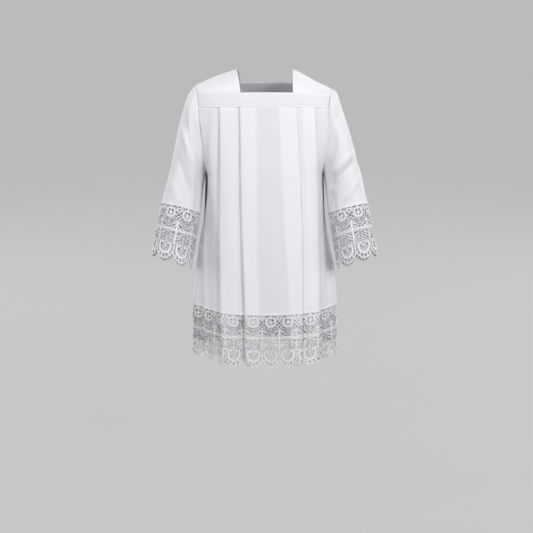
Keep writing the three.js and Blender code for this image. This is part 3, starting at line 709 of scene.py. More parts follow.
def yokeBand(name, panel, node):
    low = {key: values[0] for key, values in sectionAt(panel, np.array([0.0])).items()}
    high = bandTop(panel)
    limit = high["reach"] * math.sin(high["turn"])
    levels, columns = yoke["bandGrid"]
    x = np.linspace(-limit, limit, columns)
    share = np.arcsin(x / high["reach"]) / high["turn"]
    foot, out, _ = restPoints(low, share * low["turn"])
    foot[:, 2] += form["seamGap"]
    top, _, _ = restPoints(high, share * high["turn"])
    up = 1 - np.linspace(0, 1, levels)[:, None, None]
    points = lerp(foot, top, up) + out * yoke["bulge"] * np.sin(np.pi * up)
    height = np.linalg.norm(top - foot, axis=1)
    upper = (1 - up[..., 0]) * height
    lower = up[..., 0] * height
    welts = weltRise(upper, yoke["topWelt"], yoke["welt"]) + weltRise(lower, yoke["footWelt"], yoke["welt"])
    wave = yoke["wave"] * np.sin(x / 17 + upper / 9) * np.sin(x / 41 + 1) * np.sin(np.pi * up[..., 0])
    points = (points + out * (welts + wave)[..., None]) * panel["facing"]
    points = lowerShoulder(besideArmhole(points, -1))
    flat = np.stack([np.broadcast_to(x, upper.shape), upper], -1)
    onWelt = np.minimum(upper - yoke["topWelt"], lower - yoke["footWelt"]) < 0.4
    layers = np.where(onWelt, yoke["layers"]["bandWelt"], yoke["layers"]["band"])
    piece = clothShell(name, node, points, yoke["thickness"], flat, layers)
    cutFromGrid(piece, points)
    return points


def yokeShoulder(name, side, node):
    neck, hole = form["neck"], form["armhole"]
    rows, columns = yoke["shoulderGrid"]
    arch = math.radians(neck["arch"])
    lean = np.linspace(-1, 1, rows)[:, None]
    angle = np.abs(lean) * arch
    rise = (1 - np.cos(angle)) / (1 - math.cos(arch))
    outX = lerp(hole["topX"], armholeAt(neck["edgeZ"])[0], rise) - form["seamGap"] / 2
    neckX = lerp(neck["ridgeHalf"], neck["bandHalf"][side], np.abs(lean))
    x = lerp(neckX, outX, np.linspace(0, 1, columns)[None, :])
    seams = []
    for panel in (frontPanel, backPanel):
        top = bandTop(panel)
        turn = np.minimum(np.arcsin(np.clip(x / top["reach"], -1, 1)), top["turn"])
        seams.append(restPoints(top, turn)[0])
    seam = np.where(lean[..., None] < 0, seams[0], seams[1])
    away = np.maximum(0, (x - neck["ridgeHalf"]) / (hole["topX"] - neck["ridgeHalf"]))
    ridge = hole["topZ"] * away + neck["swell"] * np.sin(np.pi * np.clip(away, 0, 1)) ** 0.7
    z = lerp(ridge, seam[..., 2] + form["seamGap"], rise)
    y = seam[..., 1] * np.sin(angle) / math.sin(arch) * np.where(lean < 0, 1, -1)
    points, toNeck = np.stack([x, y, z], -1)[::-1], np.abs(x - neckX)[::-1]
    if side == "right":
        points, toNeck = points[:, ::-1] * np.array([-1, 1, 1]), toNeck[:, ::-1]
    ripple = np.sin(points[..., 0] / 15 + points[..., 1] / 19) * np.sin(points[..., 1] / 31)
    raised = weltRise(toNeck, yoke["neckWelt"], yoke["welt"]) + yoke["ripple"] * ripple
    points = lowerShoulder(besideArmhole(points + facingOf(points) * raised[..., None], -1))
    layers = np.where(toNeck < yoke["neckWelt"] + 0.4, yoke["layers"]["neckWelt"], yoke["layers"]["shoulder"])
    piece = clothShell(name, node, points, yoke["thickness"], points[..., :2], layers)
    cutFromGrid(piece, points)
    return points


frontYoke = yokeBand("front_yoke", frontPanel, "yoke_front")
backYoke = yokeBand("back_yoke", backPanel, "yoke_back")
leftShoulder = yokeShoulder("left_shoulder", "left", "shoulder_left")
rightShoulder = yokeShoulder("right_shoulder", "right", "shoulder_right")
print("body and yoke made")


# Sleeves
sleeves = {
    "rows": 100,
    "columns": 150,
    "length": 440,
    "thickness": 0.7,
    "cuffWelt": 4.5,
    "welt": 0.45,
    "headSeam": 0.012,  # the share of the length over which its creases begin
    "puckers": {"height": 0.55, "at": 0.035, "spread": 0.03, "waves": 26},
    "layers": {"sleeve": 0.05, "cuffWelt": 1.3},
    "left": {
        "folds": tableOf(
            "fromTurn toTurn start end width height",
            (100, 165, 0.4, 1.0, 18, -7),
            (45, 110, -0.15, 0.7, 20, 6),
            (250, 215, -0.1, 0.85, 20, 6),
            (330, 378, 0.25, 0.85, 13, -5.5),
            (22, -28, 0.5, 1.05, 12, 5.5),
            (300, 335, -0.05, 0.6, 12, 4.5),
        ),
        "creases": {
            "front": [
                crease(10, -8.5, (302, -285), (250, -335), (214, -392)),
                crease(12, 6.1, (300, -250), (246, -300), (212, -345)),
                crease(10, -4.4, (250, -95), (238, -190), (218, -290)),
                crease(15, 4.1, (268, -120), (276, -230), (262, -300)),
                crease(11, 4.8, (316, -330), (284, -385), (250, -430)),
                crease(8, -4.4, (228, -380), (226, -420), (236, -470), toHem=True),
            ],
            "back": [
                crease(12, -5.4, (262, -150), (232, -260), (206, -350)),
                crease(12, 5.8, (292, -220), (280, -320), (250, -420)),
                crease(10, -4.4, (318, -330), (290, -390), (262, -440)),
            ],
        },
    },
    "right": {
        "folds": tableOf(
            "fromTurn toTurn start end width height",
            (20, 140, -0.1, 0.95, 19, 7),
            (75, 150, -0.15, 0.6, 17, -6),
            (250, 215, -0.1, 0.85, 20, 6),
            (340, 392, 0.2, 0.8, 12, 5.0),
            (12, -36, 0.45, 1.0, 13, -5.5),
            (292, 325, -0.05, 0.65, 12, -4.5),
        ),
        "creases": {
            "front": [
                crease(10, 6.8, (-276, -160), (-247, -244), (-214, -344)),
                crease(9, -6.8, (-262, -91), (-253, -205), (-233, -300)),
                crease(8, 4.1, (-230, -90), (-219, -180), (-204, -270)),
                crease(12, -4.4, (-290, -250), (-262, -340), (-232, -420)),
                crease(14, 3.7, (-312, -330), (-288, -400), (-262, -450)),
                crease(8, -4.1, (-222, -330), (-220, -400), (-228, -470), toHem=True),
            ],
            "back": [
                crease(12, -5.8, (-256, -130), (-236, -250), (-208, -350)),
                crease(13, 5.1, (-286, -210), (-272, -310), (-246, -410)),
                crease(10, -4.1, (-322, -340), (-298, -400), (-266, -450)),
            ],
        },
    },
}


def ringPoints(ring, turn, rise):
    power = 2 / form["armhole"]["roundness"]
    outer = np.stack([ring["outX"], ring["y"], ring["outZ"]], -1)
    inner = np.stack([ring["inX"], ring["y"], ring["inZ"]], -1)
    upper = (outer - inner) / 2
    tilt = np.radians(ring["tilt"])
    front = np.stack([0 * tilt, -np.cos(tilt), np.sin(tilt)], -1)
    cosine, sine = np.cos(turn), np.sin(turn)
    wide = (np.sign(cosine) * np.abs(cosine) ** power)[..., None]
    deep = (ring["halfDepth"] * np.sign(sine) * np.abs(sine) ** power + rise * sine)[..., None]
    unit = upper / np.linalg.norm(upper, axis=-1, keepdims=True)
    return (outer + inner) / 2 + upper * wide + front * deep + unit * (cosine * rise)[..., None]


# Turns at even steps round a ring, by its own length, from the outer line towards the front
def evenTurns(ring, shares):
    fine = np.radians(np.linspace(0, 360, 361))
    one = {name: np.full(361, value) for name, value in ring.items()}
    points = ringPoints(one, fine, 0 * fine)
    lengths = lengthsAlong(points)
    return np.interp(shares * lengths[-1], lengths, fine), lengths[-1]


def sleeveShell(name, side, node):
    along = stepsTo(sleeves["length"], sleeves["rows"], sleeves["cuffWelt"]) / sleeves["length"]
    rows, columns = len(along), sleeves["columns"]
    ring = rowAt(sleeveRings, along)
    shares = np.linspace(-0.5, 0.5, columns)  # the underarm seam closes it
    turns, girths = np.zeros((rows, columns)), np.zeros(rows)
    for r in range(rows):
        one = {key: values[r] for key, values in ring.items()}
        turns[r], girths[r] = evenTurns(one, shares % 1)
        turns[r][shares < 0] -= 2 * np.pi
    rise = np.zeros((rows, columns))
    for fromTurn, toTurn, start, end, width, height in zip(*sleeves[side]["folds"].values()):
        share = np.clip((along - start) / (end - start), 0, 1)[:, None]
        away = (np.degrees(turns) - lerp(fromTurn, toTurn, share) + 180) % 360 - 180
        rise += height * np.sin(np.pi * share) * np.exp(-((away / width) ** 2))
    wide = {key: values[:, None] + 0 * turns for key, values in ring.items()}
    points = ringPoints(wide, turns, rise)
    points[0, :, 0] += form["seamGap"] / 2
    points[-1, :, 2] += form["seamGap"] / 2
    if side == "left":
        points = points[:, ::-1]
    else:
        points[..., 0] *= -1
    cuffEdge = weltRise((1 - along) * sleeves["length"], sleeves["cuffWelt"], sleeves["welt"])[:, None]
    along, facing = along[:, None], facingOf(points)
    seam = np.exp(-((along / sleeves["headSeam"]) ** 2))
    creased = creaseRise(points, facing, sleeves[side]["creases"]) * (1 - seam)
    # Ease at the sleeve's head: little puckers along its seam
    puckers, waved = sleeves["puckers"], turns * sleeves["puckers"]["waves"] + 2 * np.sin(turns * 5)
    eases = puckers["height"] * np.sin(waved) * np.exp(-((along - puckers["at"]) / puckers["spread"]) ** 2)
    points = lowerShoulder(besideArmhole(points + facing * (creased + eases + cuffEdge)[..., None], 1))
    flat = np.stack([shares * girths[:, None], np.broadcast_to(along * sleeves["length"], turns.shape)], -1)
    layers = np.where(cuffEdge > 0, sleeves["layers"]["cuffWelt"], sleeves["layers"]["sleeve"]) + 0 * turns
    piece = clothShell(name, node, points, sleeves["thickness"], flat, layers)
    cutFromGrid(piece, points)
    return points


leftSleeve = sleeveShell("left_sleeve", "left", "sleeve_left")
rightSleeve = sleeveShell("right_sleeve", "right", "sleeve_right")
print("sleeves made")

# Lace: one repeat is drawn flat, u across from the roundel's middle and v down from the seam.
# It is a worked ground with its gaps cut out, and raised cords on both faces.
laceForm = {
    "ground": 0.8,  # thickness of the worked ground
    "height": 0.95,  # how far a cord stands out from the middle on each side
    "step": 3.0,  # the longest piece of a cord, so that it follows the folds
    "spacing": 6.0,  # between the ground's own points
    "edgeCord": 3.3,
    "open": 1.2,  # how much wider the net's diamonds are worked than the tables have them
    "openFrom": 2.8,  # in mm, as the narrow ones stay as they are
    "tip": 0.45,  # a tapered cord's width at its ends, as a share of the width at its middle
    "scallop": {"foot": 176.2, "rise": 25, "power": 2.4, "steps": 24},
    "inset": {"start": 3, "end": 2, "top": 4, "foot": 1},  # how far in from the rim the ground's points begin
    "sharpFrom": 70,  # in degrees
}

# Gaps: u, v, wide, tall, and then corners and lean in degrees where they aren't 4 and 0.
# Each off the middle has a mirror image.
roundelGaps = [
    (6.6, 16.4, 8.8, 9.6, 6, 12), (9.4, 27.8, 6.0, 5.4, 5, 0), (3.9, 32.4, 4.6, 4.8),
    (8.4, 5.0, 6.8, 4.6, 6), (15.8, 5.0, 4.8, 4.4), (3.0, 45.6, 4.1, 4.6), (8.8, 44.4, 4.1, 4.6),
    (15.0, 42.6, 4.8, 5.0), (6.0, 50.0, 4.1, 4.5), (11.8, 49.0, 4.1, 4.6), (17.8, 48.2, 3.9, 4.4),
    (3.0, 54.6, 4.0, 4.6), (8.8, 54.2, 4.1, 4.4), (14.6, 53.2, 3.9, 4.4), (6.0, 59.2, 3.9, 4.4),
    (11.4, 58.4, 3.6, 4.2), (3.0, 63.8, 3.9, 4.2), (7.8, 64.2, 3.4, 3.8), (4.8, 70.5, 8.2, 3.8, 6),
    (4.6, 84.6, 7.8, 3.4, 6, -6), (4.2, 90.8, 6.6, 3.2, 6, -10), (9.6, 89.8, 3.8, 5.0, 4, 20),
    (3.2, 96.6, 4.1, 4.4), (8.4, 96.6, 4.0, 4.8), (5.8, 101.6, 4.1, 4.6), (11.4, 101.6, 4.1, 4.6),
    (3.0, 106.6, 4.1, 4.6), (8.6, 106.8, 4.1, 4.8), (14.2, 107.4, 4.2, 5.0), (5.8, 112.0, 4.1, 4.6),
    (11.4, 112.6, 4.3, 5.0), (17.4, 113.4, 4.5, 5.2), (4.8, 118.2, 5.6, 4.0), (14.0, 118.6, 5.6, 4.0),
    (3.6, 127.4, 4.0, 5.4), (11.6, 134.1, 7.0, 7.8, 6), (3.1, 135.2, 3.4, 5.4), (6.6, 140.9, 5.0, 5.4),
    (13.0, 143.4, 3.8, 5.4, 4, 25), (8.0, 147.8, 4.6, 4.6), (2.7, 146.0, 3.2, 5.0), (0, 153.0, 4.6, 4.0),
    (0, 168.8, 7.8, 8.6, 6), (11.7, 164.9, 7.8, 8.4, 6, -14), (21.3, 156.4, 5.8, 10.4, 6, 28),
]
starGaps = [
    (0, 4.2, 8.0, 3.4, 6), (0, 12.6, 4.2, 4.2, 6), (5.9, 22.0, 6.8, 6.8, 6, 45), (0, 28.2, 6.8, 6.8, 6, 90),
    (6.2, 34.4, 6.6, 6.6, 6, 45), (0, 40.6, 6.0, 5.8), (11.0, 40.0, 3.6, 4.6), (5.2, 45.6, 5.0, 5.4),
    (10.6, 63.4, 17.0, 6.4, 6, 34), (5.0, 70.0, 4.4, 5.2, 4, 10), (13.8, 71.4, 5.8, 3.2, 6, 20),
    (4.0, 90.4, 2.2, 13.0, 4, 9), (6.9, 89.6, 2.2, 11.4, 4, 9), (9.7, 88.6, 2.2, 9.6, 4, 9),
    (12.5, 87.7, 2.1, 7.6, 4, 9), (15.2, 86.8, 2.1, 5.6, 4, 9), (10.0, 100.9, 16.0, 6.0, 6, -34),
    (4.6, 113.0, 4.8, 5.6), (9.8, 109.0, 3.9, 4.8), (3.6, 127.2, 3.4, 5.6), (3.8, 134.2, 3.2, 5.6),
    (3.8, 141.2, 3.2, 5.6), (3.4, 147.6, 2.8, 4.8),
]


def gapCorners(u, v, wide, tall, corners, lean):
    turns = np.pi / 2 + 2 * np.pi * np.arange(corners) / corners
    x, y = wide / 2 * np.cos(turns), tall / 2 * np.sin(turns)
    if corners == 6:  # a long six-sided gap has its points at its ends
        turns = 2 * np.pi * np.arange(6) / 6
        x, y = wide / 2 * np.cos(turns), tall / 2 * np.sin(turns) / 0.866
    cosine, sine = math.cos(math.radians(lean)), math.sin(math.radians(lean))
    return np.stack([u + x * cosine - y * sine, v + x * sine + y * cosine], 1)


# Every gap of a repeat, as corners round it. One on a middle line is its own mirror image
def repeatGaps():
    gaps = []
    for middle, table in ((0, roundelGaps), (form["laceRepeat"] / 2, starGaps)):
        for u, v, wide, tall, *rest in table:
            corners, lean = (*rest, *(4, 0)[len(rest):])
            if corners < 6 and wide > laceForm["openFrom"]:
                wide, tall = wide * laceForm["open"], tall * laceForm["open"]
            gaps.append(gapCorners(middle + u, v, wide, tall, corners, lean))
            if u:
                gaps.append(gapCorners(middle - u, v, wide, tall, corners, -lean))
    return gaps


def arc(u, v, radiusU, radiusV, start, end, wide, count):
    turns = np.radians(np.linspace(start, end, count + 1))
    return [(u + radiusU * math.cos(t), v + radiusV * math.sin(t), wide) for t in turns]


def tapered(points, wide):
    tip = laceForm["tip"]
    swell = [math.sin(math.pi * (0.15 + 0.7 * i / (len(points) - 1))) for i in range(len(points))]
    return [(u, v, wide * (tip + (1 - tip) * full)) for (u, v), full in zip(points, swell)]


def even(points, wide):
    return [(u, v, wide) for u, v in points]


# Cords that are drawn once and mirrored, about the roundel's middle or about the star between two roundels
def repeatCords():
    star = form["laceRepeat"] / 2
    middle = [
        arc(0, 24, 14.6, 14.6, 0, 180, 5.0, 14),
        arc(0, 24, 14.6, 14.6, 180, 360, 5.0, 14),
        even([(0, 10), (0, 23.5)], 2.7),
        tapered([(0, 22), (0, 27), (0, 33)], 4.4),
        even([(0, 40), (0, 66)], 1.5),
        even([(0, 92), (0, 120)], 1.4),
        tapered([(0, 122), (0, 131), (0, 140)], 3.0),
        arc(0, 92, 13, 13, 215, 325, 1.9, 8),
        arc(0, 98, 12, 13, 220, 320, 1.7, 8),
    ]
    mirrored = [
        tapered([(0.5, 22.9), (5, 24.4), (10.4, 22.4)], 2.6),
        tapered([(1, 25.8), (4.6, 28.6), (6.6, 32.4)], 2.6),
        [(15.6, 121.5, 2.4), (18.6, 125.5, 4.0), (20.0, 131.5, 5.2), (19.8, 139, 5.8), (17.4, 147, 6.2),
         (13.0, 153.5, 6.4), (6.6, 157.8, 6.4), (0, 159.4, 6.4)],
        arc(10.4, 126.4, 2.2, 2.2, 0, 360, 4.0, 8),
        tapered([(2, 122.3), (7, 121.6), (15, 121.8)], 2.2),
        tapered([(1.2, 131.6), (4.6, 133.4), (7.6, 136.6)], 2.4),
        tapered([(1.2, 142.5), (5, 144.4), (11.5, 142.6)], 2.2),
        tapered([(0.8, 149.6), (6, 151.2), (12, 149.2)], 2.2),
        even([(5.9, 158.5), (6.3, 175)], 2.6),
        even([(17.2, 150.5), (19.2, 166)], 2.8),
    ]
    starry = [
        even([(star, 50), (star, 78)], 4.4),
        even([(star, 76), (star, 122)], 4.2),
        arc(star, 12.4, 5.7, 5.7, 0, 360, 3.4, 14),
        tapered([(star, 122), (star, 137), (star, 152.5)], 2.8),
    ]
    starMirrored = [
        tapered([(1.2, 54), (7, 57.4), (13.5, 61.8), (19.5, 67.6)], 3.0),
        tapered([(1.2, 64.2), (6, 67.4), (12.5, 72.4)], 3.4),
        tapered([(1.2, 110.4), (7, 106.6), (13.0, 102.6), (18.5, 98.0)], 3.2),
        tapered([(1.2, 101.6), (6.6, 98.2), (13.0, 94.0), (18.5, 90.0)], 3.0),
        tapered([(1, 131), (4.5, 130.2), (7, 128.2)], 1.8),
        tapered([(1, 138), (4.5, 137.2), (6.6, 135.6)], 1.8),
        # the crossed bars below the small ring
        even([(0.2, 21.6), (9.6, 30.4)], 1.9),
        even([(9.8, 25.4), (0.2, 34.6)], 1.9),
        even([(0.4, 47.2), (9.4, 37.8)], 1.7),
        even([(3.0, 35.8), (10.4, 44.6)], 1.7),
    ]
    cords = list(middle)
    for cord in mirrored:
        cords += [cord, [(-u, v, w) for u, v, w in cord]]
    cords += starry
    for cord in starMirrored:
        cords += [[(star + u, v, w) for u, v, w in cord], [(star - u, v, w) for u, v, w in cord]]
    across = np.linspace(-star, star, 20)
    cords.append([(u, 1.4, 2.8) for u in across])
    cords.append([(u, 74.9 + 0.6 * math.cos(2 * math.pi * u / star), 3.2) for u in across])
    cords.append([(u, 79.6 - 0.4 * math.cos(2 * math.pi * u / star), 3.4) for u in across])
    edge = np.linspace(-star, star, laceForm["scallop"]["steps"])
    cords.append([(u, scallopFoot(u), laceForm["edgeCord"]) for u in edge])
    return cords


def scallopFoot(u):
    scallop = laceForm["scallop"]
    return scallop["foot"] - scallop["rise"] * (np.abs(u) / (form["laceRepeat"] / 2)) ** scallop["power"]


# A cord in steps short enough to follow the cloth, rounded where it has few points
def roundedCord(cord, step):
    cord = np.array(cord, float)
    if 2 < len(cord) < 7:
        ends = np.concatenate([[2 * cord[0] - cord[1]], cord, [2 * cord[-1] - cord[-2]]])
        pieces = []
        for i in range(1, len(ends) - 2):
            p, q, r, s = ends[i - 1:i + 3]
            t = np.linspace(0, 1, 4)[:-1, None]
            bend = (2 * p - 5 * q + 4 * r - s) * t * t + (3 * q - p - 3 * r + s) * t ** 3
            pieces.append(0.5 * (2 * q + (r - p) * t + bend))
        cord = np.concatenate(pieces + [cord[-1:]])
    lengths = lengthsAlong(cord[:, :2])
    count = max(1, math.ceil(lengths[-1] / step))
    wanted = np.linspace(0, lengths[-1], count + 1)
    return np.stack([np.interp(wanted, lengths, cord[:, i]) for i in range(3)], 1)


# The raised cords of a strip, as flat points (along, down, height off the middle) and faces
def laceCords(start, end, phase, closed):
    repeat, high = form["laceRepeat"], laceForm["height"]
    cords = [roundedCord(cord, laceForm["step"]) for cord in repeatCords()]
    vertices, faces, count = [], [], 0
    for k in range(math.floor((start - phase) / repeat) - 1, math.ceil((end - phase) / repeat) + 2):
        middle = phase + k * repeat
        if closed and not start <= middle < end - 0.01:
            continue
        for number, cord in enumerate(cords):
            along = cord[:, 0] + middle
            inside = np.full(len(cord), closed) | ((along > start) & (along < end))
            edges = np.flatnonzero(np.diff(np.concatenate([[0], inside.astype(int), [0]])))
            for first, last in zip(edges[::2], edges[1::2]):
                if last - first < 2:
                    continue
                u, v, wide = along[first:last], cord[first:last, 1], cord[first:last, 2]
                du, dv = np.gradient(u), np.gradient(v)
                length = np.maximum(np.hypot(du, dv), 1e-9)
                su, sv = -dv / length * wide / 2, du / length * wide / 2
                # Cords differ a little in height, so that no two lie in one plane where they cross
                lift = high * np.clip(wide / 3, 0.6, 1.3) * (1 + 0.03 * (number % 5))
                around = [(u + su, v + sv, 0 * u), (u, v, lift), (u - su, v - sv, 0 * u), (u, v, -lift)]
                vertices.append(np.stack([np.stack(one, 1) for one in around], 1).reshape(-1, 3))
                base = count + 4 * np.arange(last - first - 1)[:, None]
                for side in range(4):
                    other = (side + 1) % 4
                    faces.append(base + np.array([side, other, 4 + other, 4 + side]))
                top = count + 4 * (last - first) - 4
                faces.append(np.array([count + np.array([3, 2, 1, 0]), top + np.arange(4)]))
                count += 4 * (last - first)
    return np.concatenate(vertices), np.concatenate(faces)


# The worked ground of a strip, as flat points and faces on both its sides and round its gaps
def laceGround(start, end, phase, columns):
    repeat, half = form["laceRepeat"], laceForm["ground"] / 2
    star, top = repeat / 2, form["seamGap"]

    def inRepeat(along):
        return (along - phase + star) % repeat - star

    def outline(corners, closed):
        first = len(points)
        points.extend(map(tuple, corners))
        links.extend((i, i + 1) for i in range(first, len(points) - 1))
        if closed:
            links.append((len(points) - 1, first))

    points, links = [], []
    first, last = math.floor((start - phase) / repeat) - 1, math.ceil((end - phase) / repeat) + 1
    count = laceForm["scallop"]["steps"]
    steps = phase + repeat / count * np.arange(count * first, count * last + 1)
    steps = np.unique(np.concatenate([steps[(steps > start) & (steps < end)], columns, [start, end]]))
    outline(np.stack([steps, scallopFoot(inRepeat(steps))], 1), False)
    outline([(start, points[0][1]), (start, top), (end, top), (end, points[-1][1])], False)
    gaps = repeatGaps()
    for k in range(first, last + 1):
        for gap in gaps:
            corners = gap + [phase + k * repeat, 0]
            if corners[:, 0].max() > start and corners[:, 0].min() < end:
                outline(corners, True)
    inset, spacing = laceForm["inset"], laceForm["spacing"]
    filling = np.arange(start + inset["start"], end - inset["end"], spacing)
    filling = np.unique(np.concatenate([filling, columns]))
    lowest = scallopFoot(inRepeat(filling)) - inset["foot"]
    for down in np.arange(top + inset["top"], form["laceHeight"], spacing):
        points.extend((along, down) for along in filling[down < lowest])
    found = delaunay_2d_cdt([Vector(point) for point in points], links, [], 0, 1e-4)
    places, triangles = np.array([tuple(place) for place in found[0]]), np.array(found[2])
    middles = places[triangles].mean(1)
    local = inRepeat(middles[:, 0])
    kept = (middles[:, 0] > start) & (middles[:, 0] < end) & (middles[:, 1] > top)
    kept &= middles[:, 1] < scallopFoot(local) + 0.02
    for gap in gaps:
        for shift in (-repeat, 0, repeat):
            sides = np.roll(gap, -1, 0) - gap
            away = np.stack([local + shift, middles[:, 1]], 1)[:, None] - gap
            turns = sides[:, 0] * away[..., 1] - sides[:, 1] * away[..., 0]
            kept &= ~((turns > 0).all(1) | (turns < 0).all(1))
    triangles = triangles[kept]
    # The rim is every edge that only one triangle has
    used = dict.fromkeys(edge for a, b, c in triangles.tolist() for edge in ((a, b), (b, c), (c, a)))
    rim = np.array([edge for edge in used if edge[::-1] not in used])
    count = len(places)
    flat = np.concatenate([np.insert(places, 2, level, axis=1) for level in (half, -half)])
    walls = np.stack([rim[:, 0], rim[:, 1], rim[:, 1] + count, rim[:, 0] + count], 1)
    return flat, triangles[:, ::-1].tolist() + (triangles + count).tolist() + walls.tolist()


# A field's values at flat points, where the field's grid has its columns along the lace and its rows down it
def valueAt(field, along, down, flat):
    row = np.interp(flat[:, 1], down, np.arange(len(down)))
    return blended(field, row, np.interp(flat[:, 0], along, np.arange(len(along))))


# Bends flat points on to a grid of the cloth
def bentOn(grid, along, down, flat):
    out = valueAt(facingOf(grid), along, down, flat)
    out /= np.maximum(np.linalg.norm(out, axis=1, keepdims=True), 1e-9)
    return valueAt(grid, along, down, flat) + out * flat[:, 2:]


# A strip of lace is two pieces, the worked ground and the cords that lie raised on it
def lacePiece(name, strip, grid, layers, along, down, nodes):
    start, end, phase, closed, columns = strip
    for kind, (flat, faces) in {"lace": laceGround(start, end, phase, columns),
                                "cords": laceCords(start, end, phase, closed)}.items():
        piece = meshOf(name.replace("lace", kind), bentOn(grid, along, down, flat), faces)
        piece.data.set_sharp_from_angle(angle=math.radians(laceForm["sharpFrom"]))
        keep(piece, "flatPlace", "FLOAT_VECTOR", flat * mm)
        keep(piece, "raised", "FLOAT", np.full(len(flat), float(kind == "cords")))
        stacked = np.clip(valueAt(layers[..., None], along, down, flat)[:, 0], 0, 1)
        keep(piece, "layers", "FLOAT", laceFinish["stackedWhite"] * stacked)
        piece.data.materials.append(lace)
        settle(piece, "lace", *(nodes if kind == "lace" else []))
        print(piece.name, sum(len(face.vertices) - 2 for face in piece.data.polygons), "triangles")


laceStrips = {
    "phase": {"front": 38, "back": 0, "cuff": form["laceRepeat"] / 2},
    "hemRows": 26,
    "cuffRows": 12,
    "cuffColumns": 241,
    "cuffKnots": 17,
    "cuffRepeats": 8,
    "cuffWave": 1.6,
    "sideGap": 0.6,  # from the hem lace's end to its panel's side
    "foldStep": 2,  # columns closer together than this are round a fold, where the lace has columns too
}


def hemLace(name, panel, node, phase):
    down = np.linspace(form["seamGap"], form["laceHeight"], laceStrips["hemRows"])
    points, along, covered = panelGrid(panel, form["laceSeamDrop"] + down)
    seam = along[0]
    folds = seam[1:-1][np.minimum(np.diff(seam)[1:], np.diff(seam)[:-1]) < laceStrips["foldStep"]]
    gap = laceStrips["sideGap"]
    strip = (gap, seam[-1] - gap, seam[-1] / 2 + phase, False, folds)
    lacePiece(name, strip, lowerShoulder(points), covered, seam, down, [node])


def cuffLace(name, side, nodes):
    repeat, height = form["laceRepeat"], form["laceHeight"]
    girth = laceStrips["cuffRepeats"] * repeat
    along = np.linspace(-repeat, girth + repeat, laceStrips["cuffColumns"])
    shares = np.linspace(0, 1, laceStrips["cuffKnots"])
    down = np.linspace(form["seamGap"], height, laceStrips["cuffRows"])
    seam = {key: values[0] for key, values in rowAt(sleeveRings, np.array([1.0])).items()}
    rows = []
    for ring in (seam, cuffFoot):
        knots = evenTurns(ring, shares)[0]
        turn = np.interp(along % girth, shares * girth, knots)
        one = {key: value + 0 * turn for key, value in ring.items()}
        rows.append(ringPoints(one, turn, 0 * turn))
    grid = lerp(rows[0], rows[1], (down / height)[:, None, None])
    if side == "left":
        grid = grid[:, ::-1]
        places = girth - along[::-1]
    else:
        grid[..., 0] *= -1
        places = along
    wave = laceStrips["cuffWave"] * np.sin(places / 23 + 0.6) * np.sin(places / 57)
    grid = lowerShoulder(grid + facingOf(grid) * (wave * (down / height)[:, None] ** 1.5)[..., None])
    strip = (0, girth, laceStrips["phase"]["cuff"], True, [])
    lacePiece(name, strip, grid, np.zeros(grid.shape[:2]), places, down, nodes)


hemLace("front_hem_lace", frontPanel, "hem_lace_front", laceStrips["phase"]["front"])
hemLace("back_hem_lace", backPanel, "hem_lace_back", laceStrips["phase"]["back"])
for side in ("left", "right"):
    cuffLace(side + "_cuff_lace", side, [f"cuff_lace_{side}_front", f"cuff_lace_{side}_back"])
print("lace made")

# Stitches: short threads that dip into the cloth, in rows beside the seams, each row a few mm from an edge
stitching = {
    "pitch": 3.2,
    "length": 2.5,
    "thickness": 0.5,
    "nearRows": 20,  # as many of a grid's rows hold all the stitches beside its edge
    "rows": [
        # a grid, its edge and how far from it the rows are
        (frontYoke, "top", (1.3, 4.0)),
        (backYoke, "top", (1.3, 4.0)),
        (frontYoke, "foot", (1.2,)),
        (backYoke, "foot", (1.2,)),
        (leftShoulder, "left", (3.1,)),
        (rightShoulder, "right", (3.1,)),
        (leftShoulder, "right", (1.4, 5.0)),
        (rightShoulder, "left", (1.4, 5.0)),
        *((grid[panelDrop < panels["stitchFoot"]], edge, (1.4, 5.0))
          for grid in (frontGrid, backGrid) for edge in ("left", "right")),
        *((grid, "foot", (1.4,)) for grid in (frontGrid, backGrid, leftSleeve, rightSleeve)),
    ],
    # a stitch's rings: how far along it each is, as a share of its length, and its height
    "rings": ((-0.5, 0.1), (-0.22, 0.5), (0.22, 0.5), (0.5, 0.1)),
}


def besideEdge(grid, edge, inset):
    turned, far = edge in ("left", "right"), edge in ("foot", "right")
    walk = grid.swapaxes(0, 1) if turned else grid
    walk = walk[::-1] if far else walk
    columns = range(walk.shape[1])
    lengths = [lengthsAlong(walk[:stitching["nearRows"], i]) for i in columns]
    away = np.array([np.interp(inset, lengths[i], np.arange(len(lengths[i]))) for i in columns])
    away = len(walk) - 1 - away if far else away
    place = np.arange(walk.shape[1], dtype=float)
    return (place, away) if turned else (away, place)


def stitchRow(grid, rows, columns):
    line, out = (blended(field, rows, columns) for field in (grid, facingOf(grid)))
    lengths = lengthsAlong(line)
    middles = np.arange(stitching["pitch"] / 2, lengths[-1], stitching["pitch"])
    ways = np.gradient(line, lengths, axis=0)
    half = stitching["thickness"] / 2

    def along(values, at):
        return np.stack([np.interp(at, lengths, values[:, i]) for i in range(3)], 1)

    rings = []
    for shift, lift in stitching["rings"]:
        at = middles + shift * stitching["length"]
        up = along(out, at)
        side = np.cross(along(ways, at), up)
        middle = along(line, at) + up * lift
        rings.append(np.stack([middle + side * half, middle + up * half * 1.3, middle - side * half], 1))
    return np.stack(rings, 1)


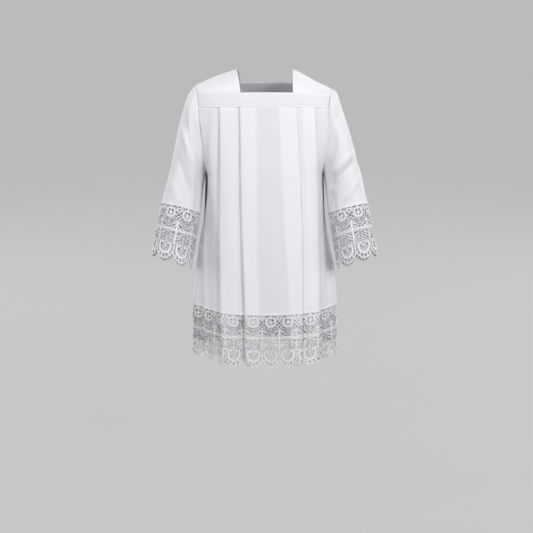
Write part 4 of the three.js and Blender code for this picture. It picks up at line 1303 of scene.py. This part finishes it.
def sewStitches():
    stitches = np.concatenate([stitchRow(grid, *besideEdge(grid, edge, inset))
                               for grid, edge, insets in stitching["rows"] for inset in insets])
    first = 12 * np.arange(len(stitches))[:, None]  # each has four rings of three corners
    faces = []
    for ring in range(3):
        for side in range(3):
            here, beside = 3 * ring + side, 3 * ring + (side + 1) % 3
            faces.append(first + np.array([[here + 3, beside + 3, beside, here]]))
    piece = meshOf("seam_stitches", stitches.reshape(-1, 3), np.concatenate(faces))
    piece.data.materials.append(thread)
    settle(piece, "cloth")
    print("stitches", len(stitches))


sewStitches()

# Stage
studio = {
    "floorZ": -1.46,
    "floorReach": 60,
    "floor": (0.08, 0.08, 0.08, 1),
    "glow": 0.47,  # keeps the floor evenly pale a long way off
    "world": 0.12,
    "aim": (0, 0, -0.5),
    "lamps": {
        # name: place, size and power
        "key": ((2.5, -3.2, 1.7), 1.8, 118.0),
        "fill": ((-2.2, -4.6, 0.5), 2.6, 112.0),
        "leftSide": ((-4.0, -0.2, 0.8), 2.4, 44.0),
        "rightSide": ((4.0, -0.4, 0.2), 2.4, 36.0),
        "rearLeft": ((-2.6, 3.4, 1.2), 2.0, 92.0),
        "rearRight": ((2.6, 3.4, 1.2), 1.4, 104.0),
        "top": ((-0.4, -0.8, 3.0), 2.0, 18.0),
    },
}
reach = studio["floorReach"]
corners = np.array([(-reach, -reach, 0), (reach, -reach, 0), (reach, reach, 0), (-reach, reach, 0)])
floor = meshOf("floor", corners / mm, [(0, 1, 2, 3)], False)
floor.location.z = studio["floorZ"]
floorMaterial = nodesOf("pale_floor", Base_Color=studio["floor"], Roughness=0.9, Specular_IOR_Level=0.1,
                        Emission_Color=(1, 1, 1, 1), Emission_Strength=studio["glow"])[0]
# A dome of the same pale colour goes all round, so that a level view has no dark sky
turn, rise = np.meshgrid(np.linspace(0, 2 * np.pi, 49), np.linspace(0, np.pi / 2, 13))
dome = np.stack([np.cos(turn) * np.cos(rise), np.sin(turn) * np.cos(rise), np.sin(rise)], -1)
backdrop = meshOf("backdrop", dome.reshape(-1, 3) * reach * 0.98 / mm, gridFaces(*turn.shape))
backdrop.location.z = studio["floorZ"]
backdrop.visible_shadow = False
for surface in (floor, backdrop):
    surface.data.materials.append(floorMaterial)
    surface.visible_diffuse = False  # it throws no light up into the garment
world = bpy.data.worlds.new("studio")
world.use_nodes = True
background = world.node_tree.nodes["Background"].inputs
background["Color"].default_value = (1, 1, 1, 1)
background["Strength"].default_value = studio["world"]
bpy.context.scene.world = world
bpy.context.scene.view_settings.view_transform = "Standard"
for lampName, (place, size, power) in studio["lamps"].items():
    light = bpy.data.lights.new(lampName, "AREA")
    light.energy, light.size, light.shape = power, size, "SQUARE"
    lamp = bpy.data.objects.new(lampName, light)
    lamp.location = place
    lamp.rotation_euler = (Vector(studio["aim"]) - Vector(place)).to_track_quat("-Z", "Y").to_euler()
    bpy.context.scene.collection.objects.link(lamp)
print("stage set")
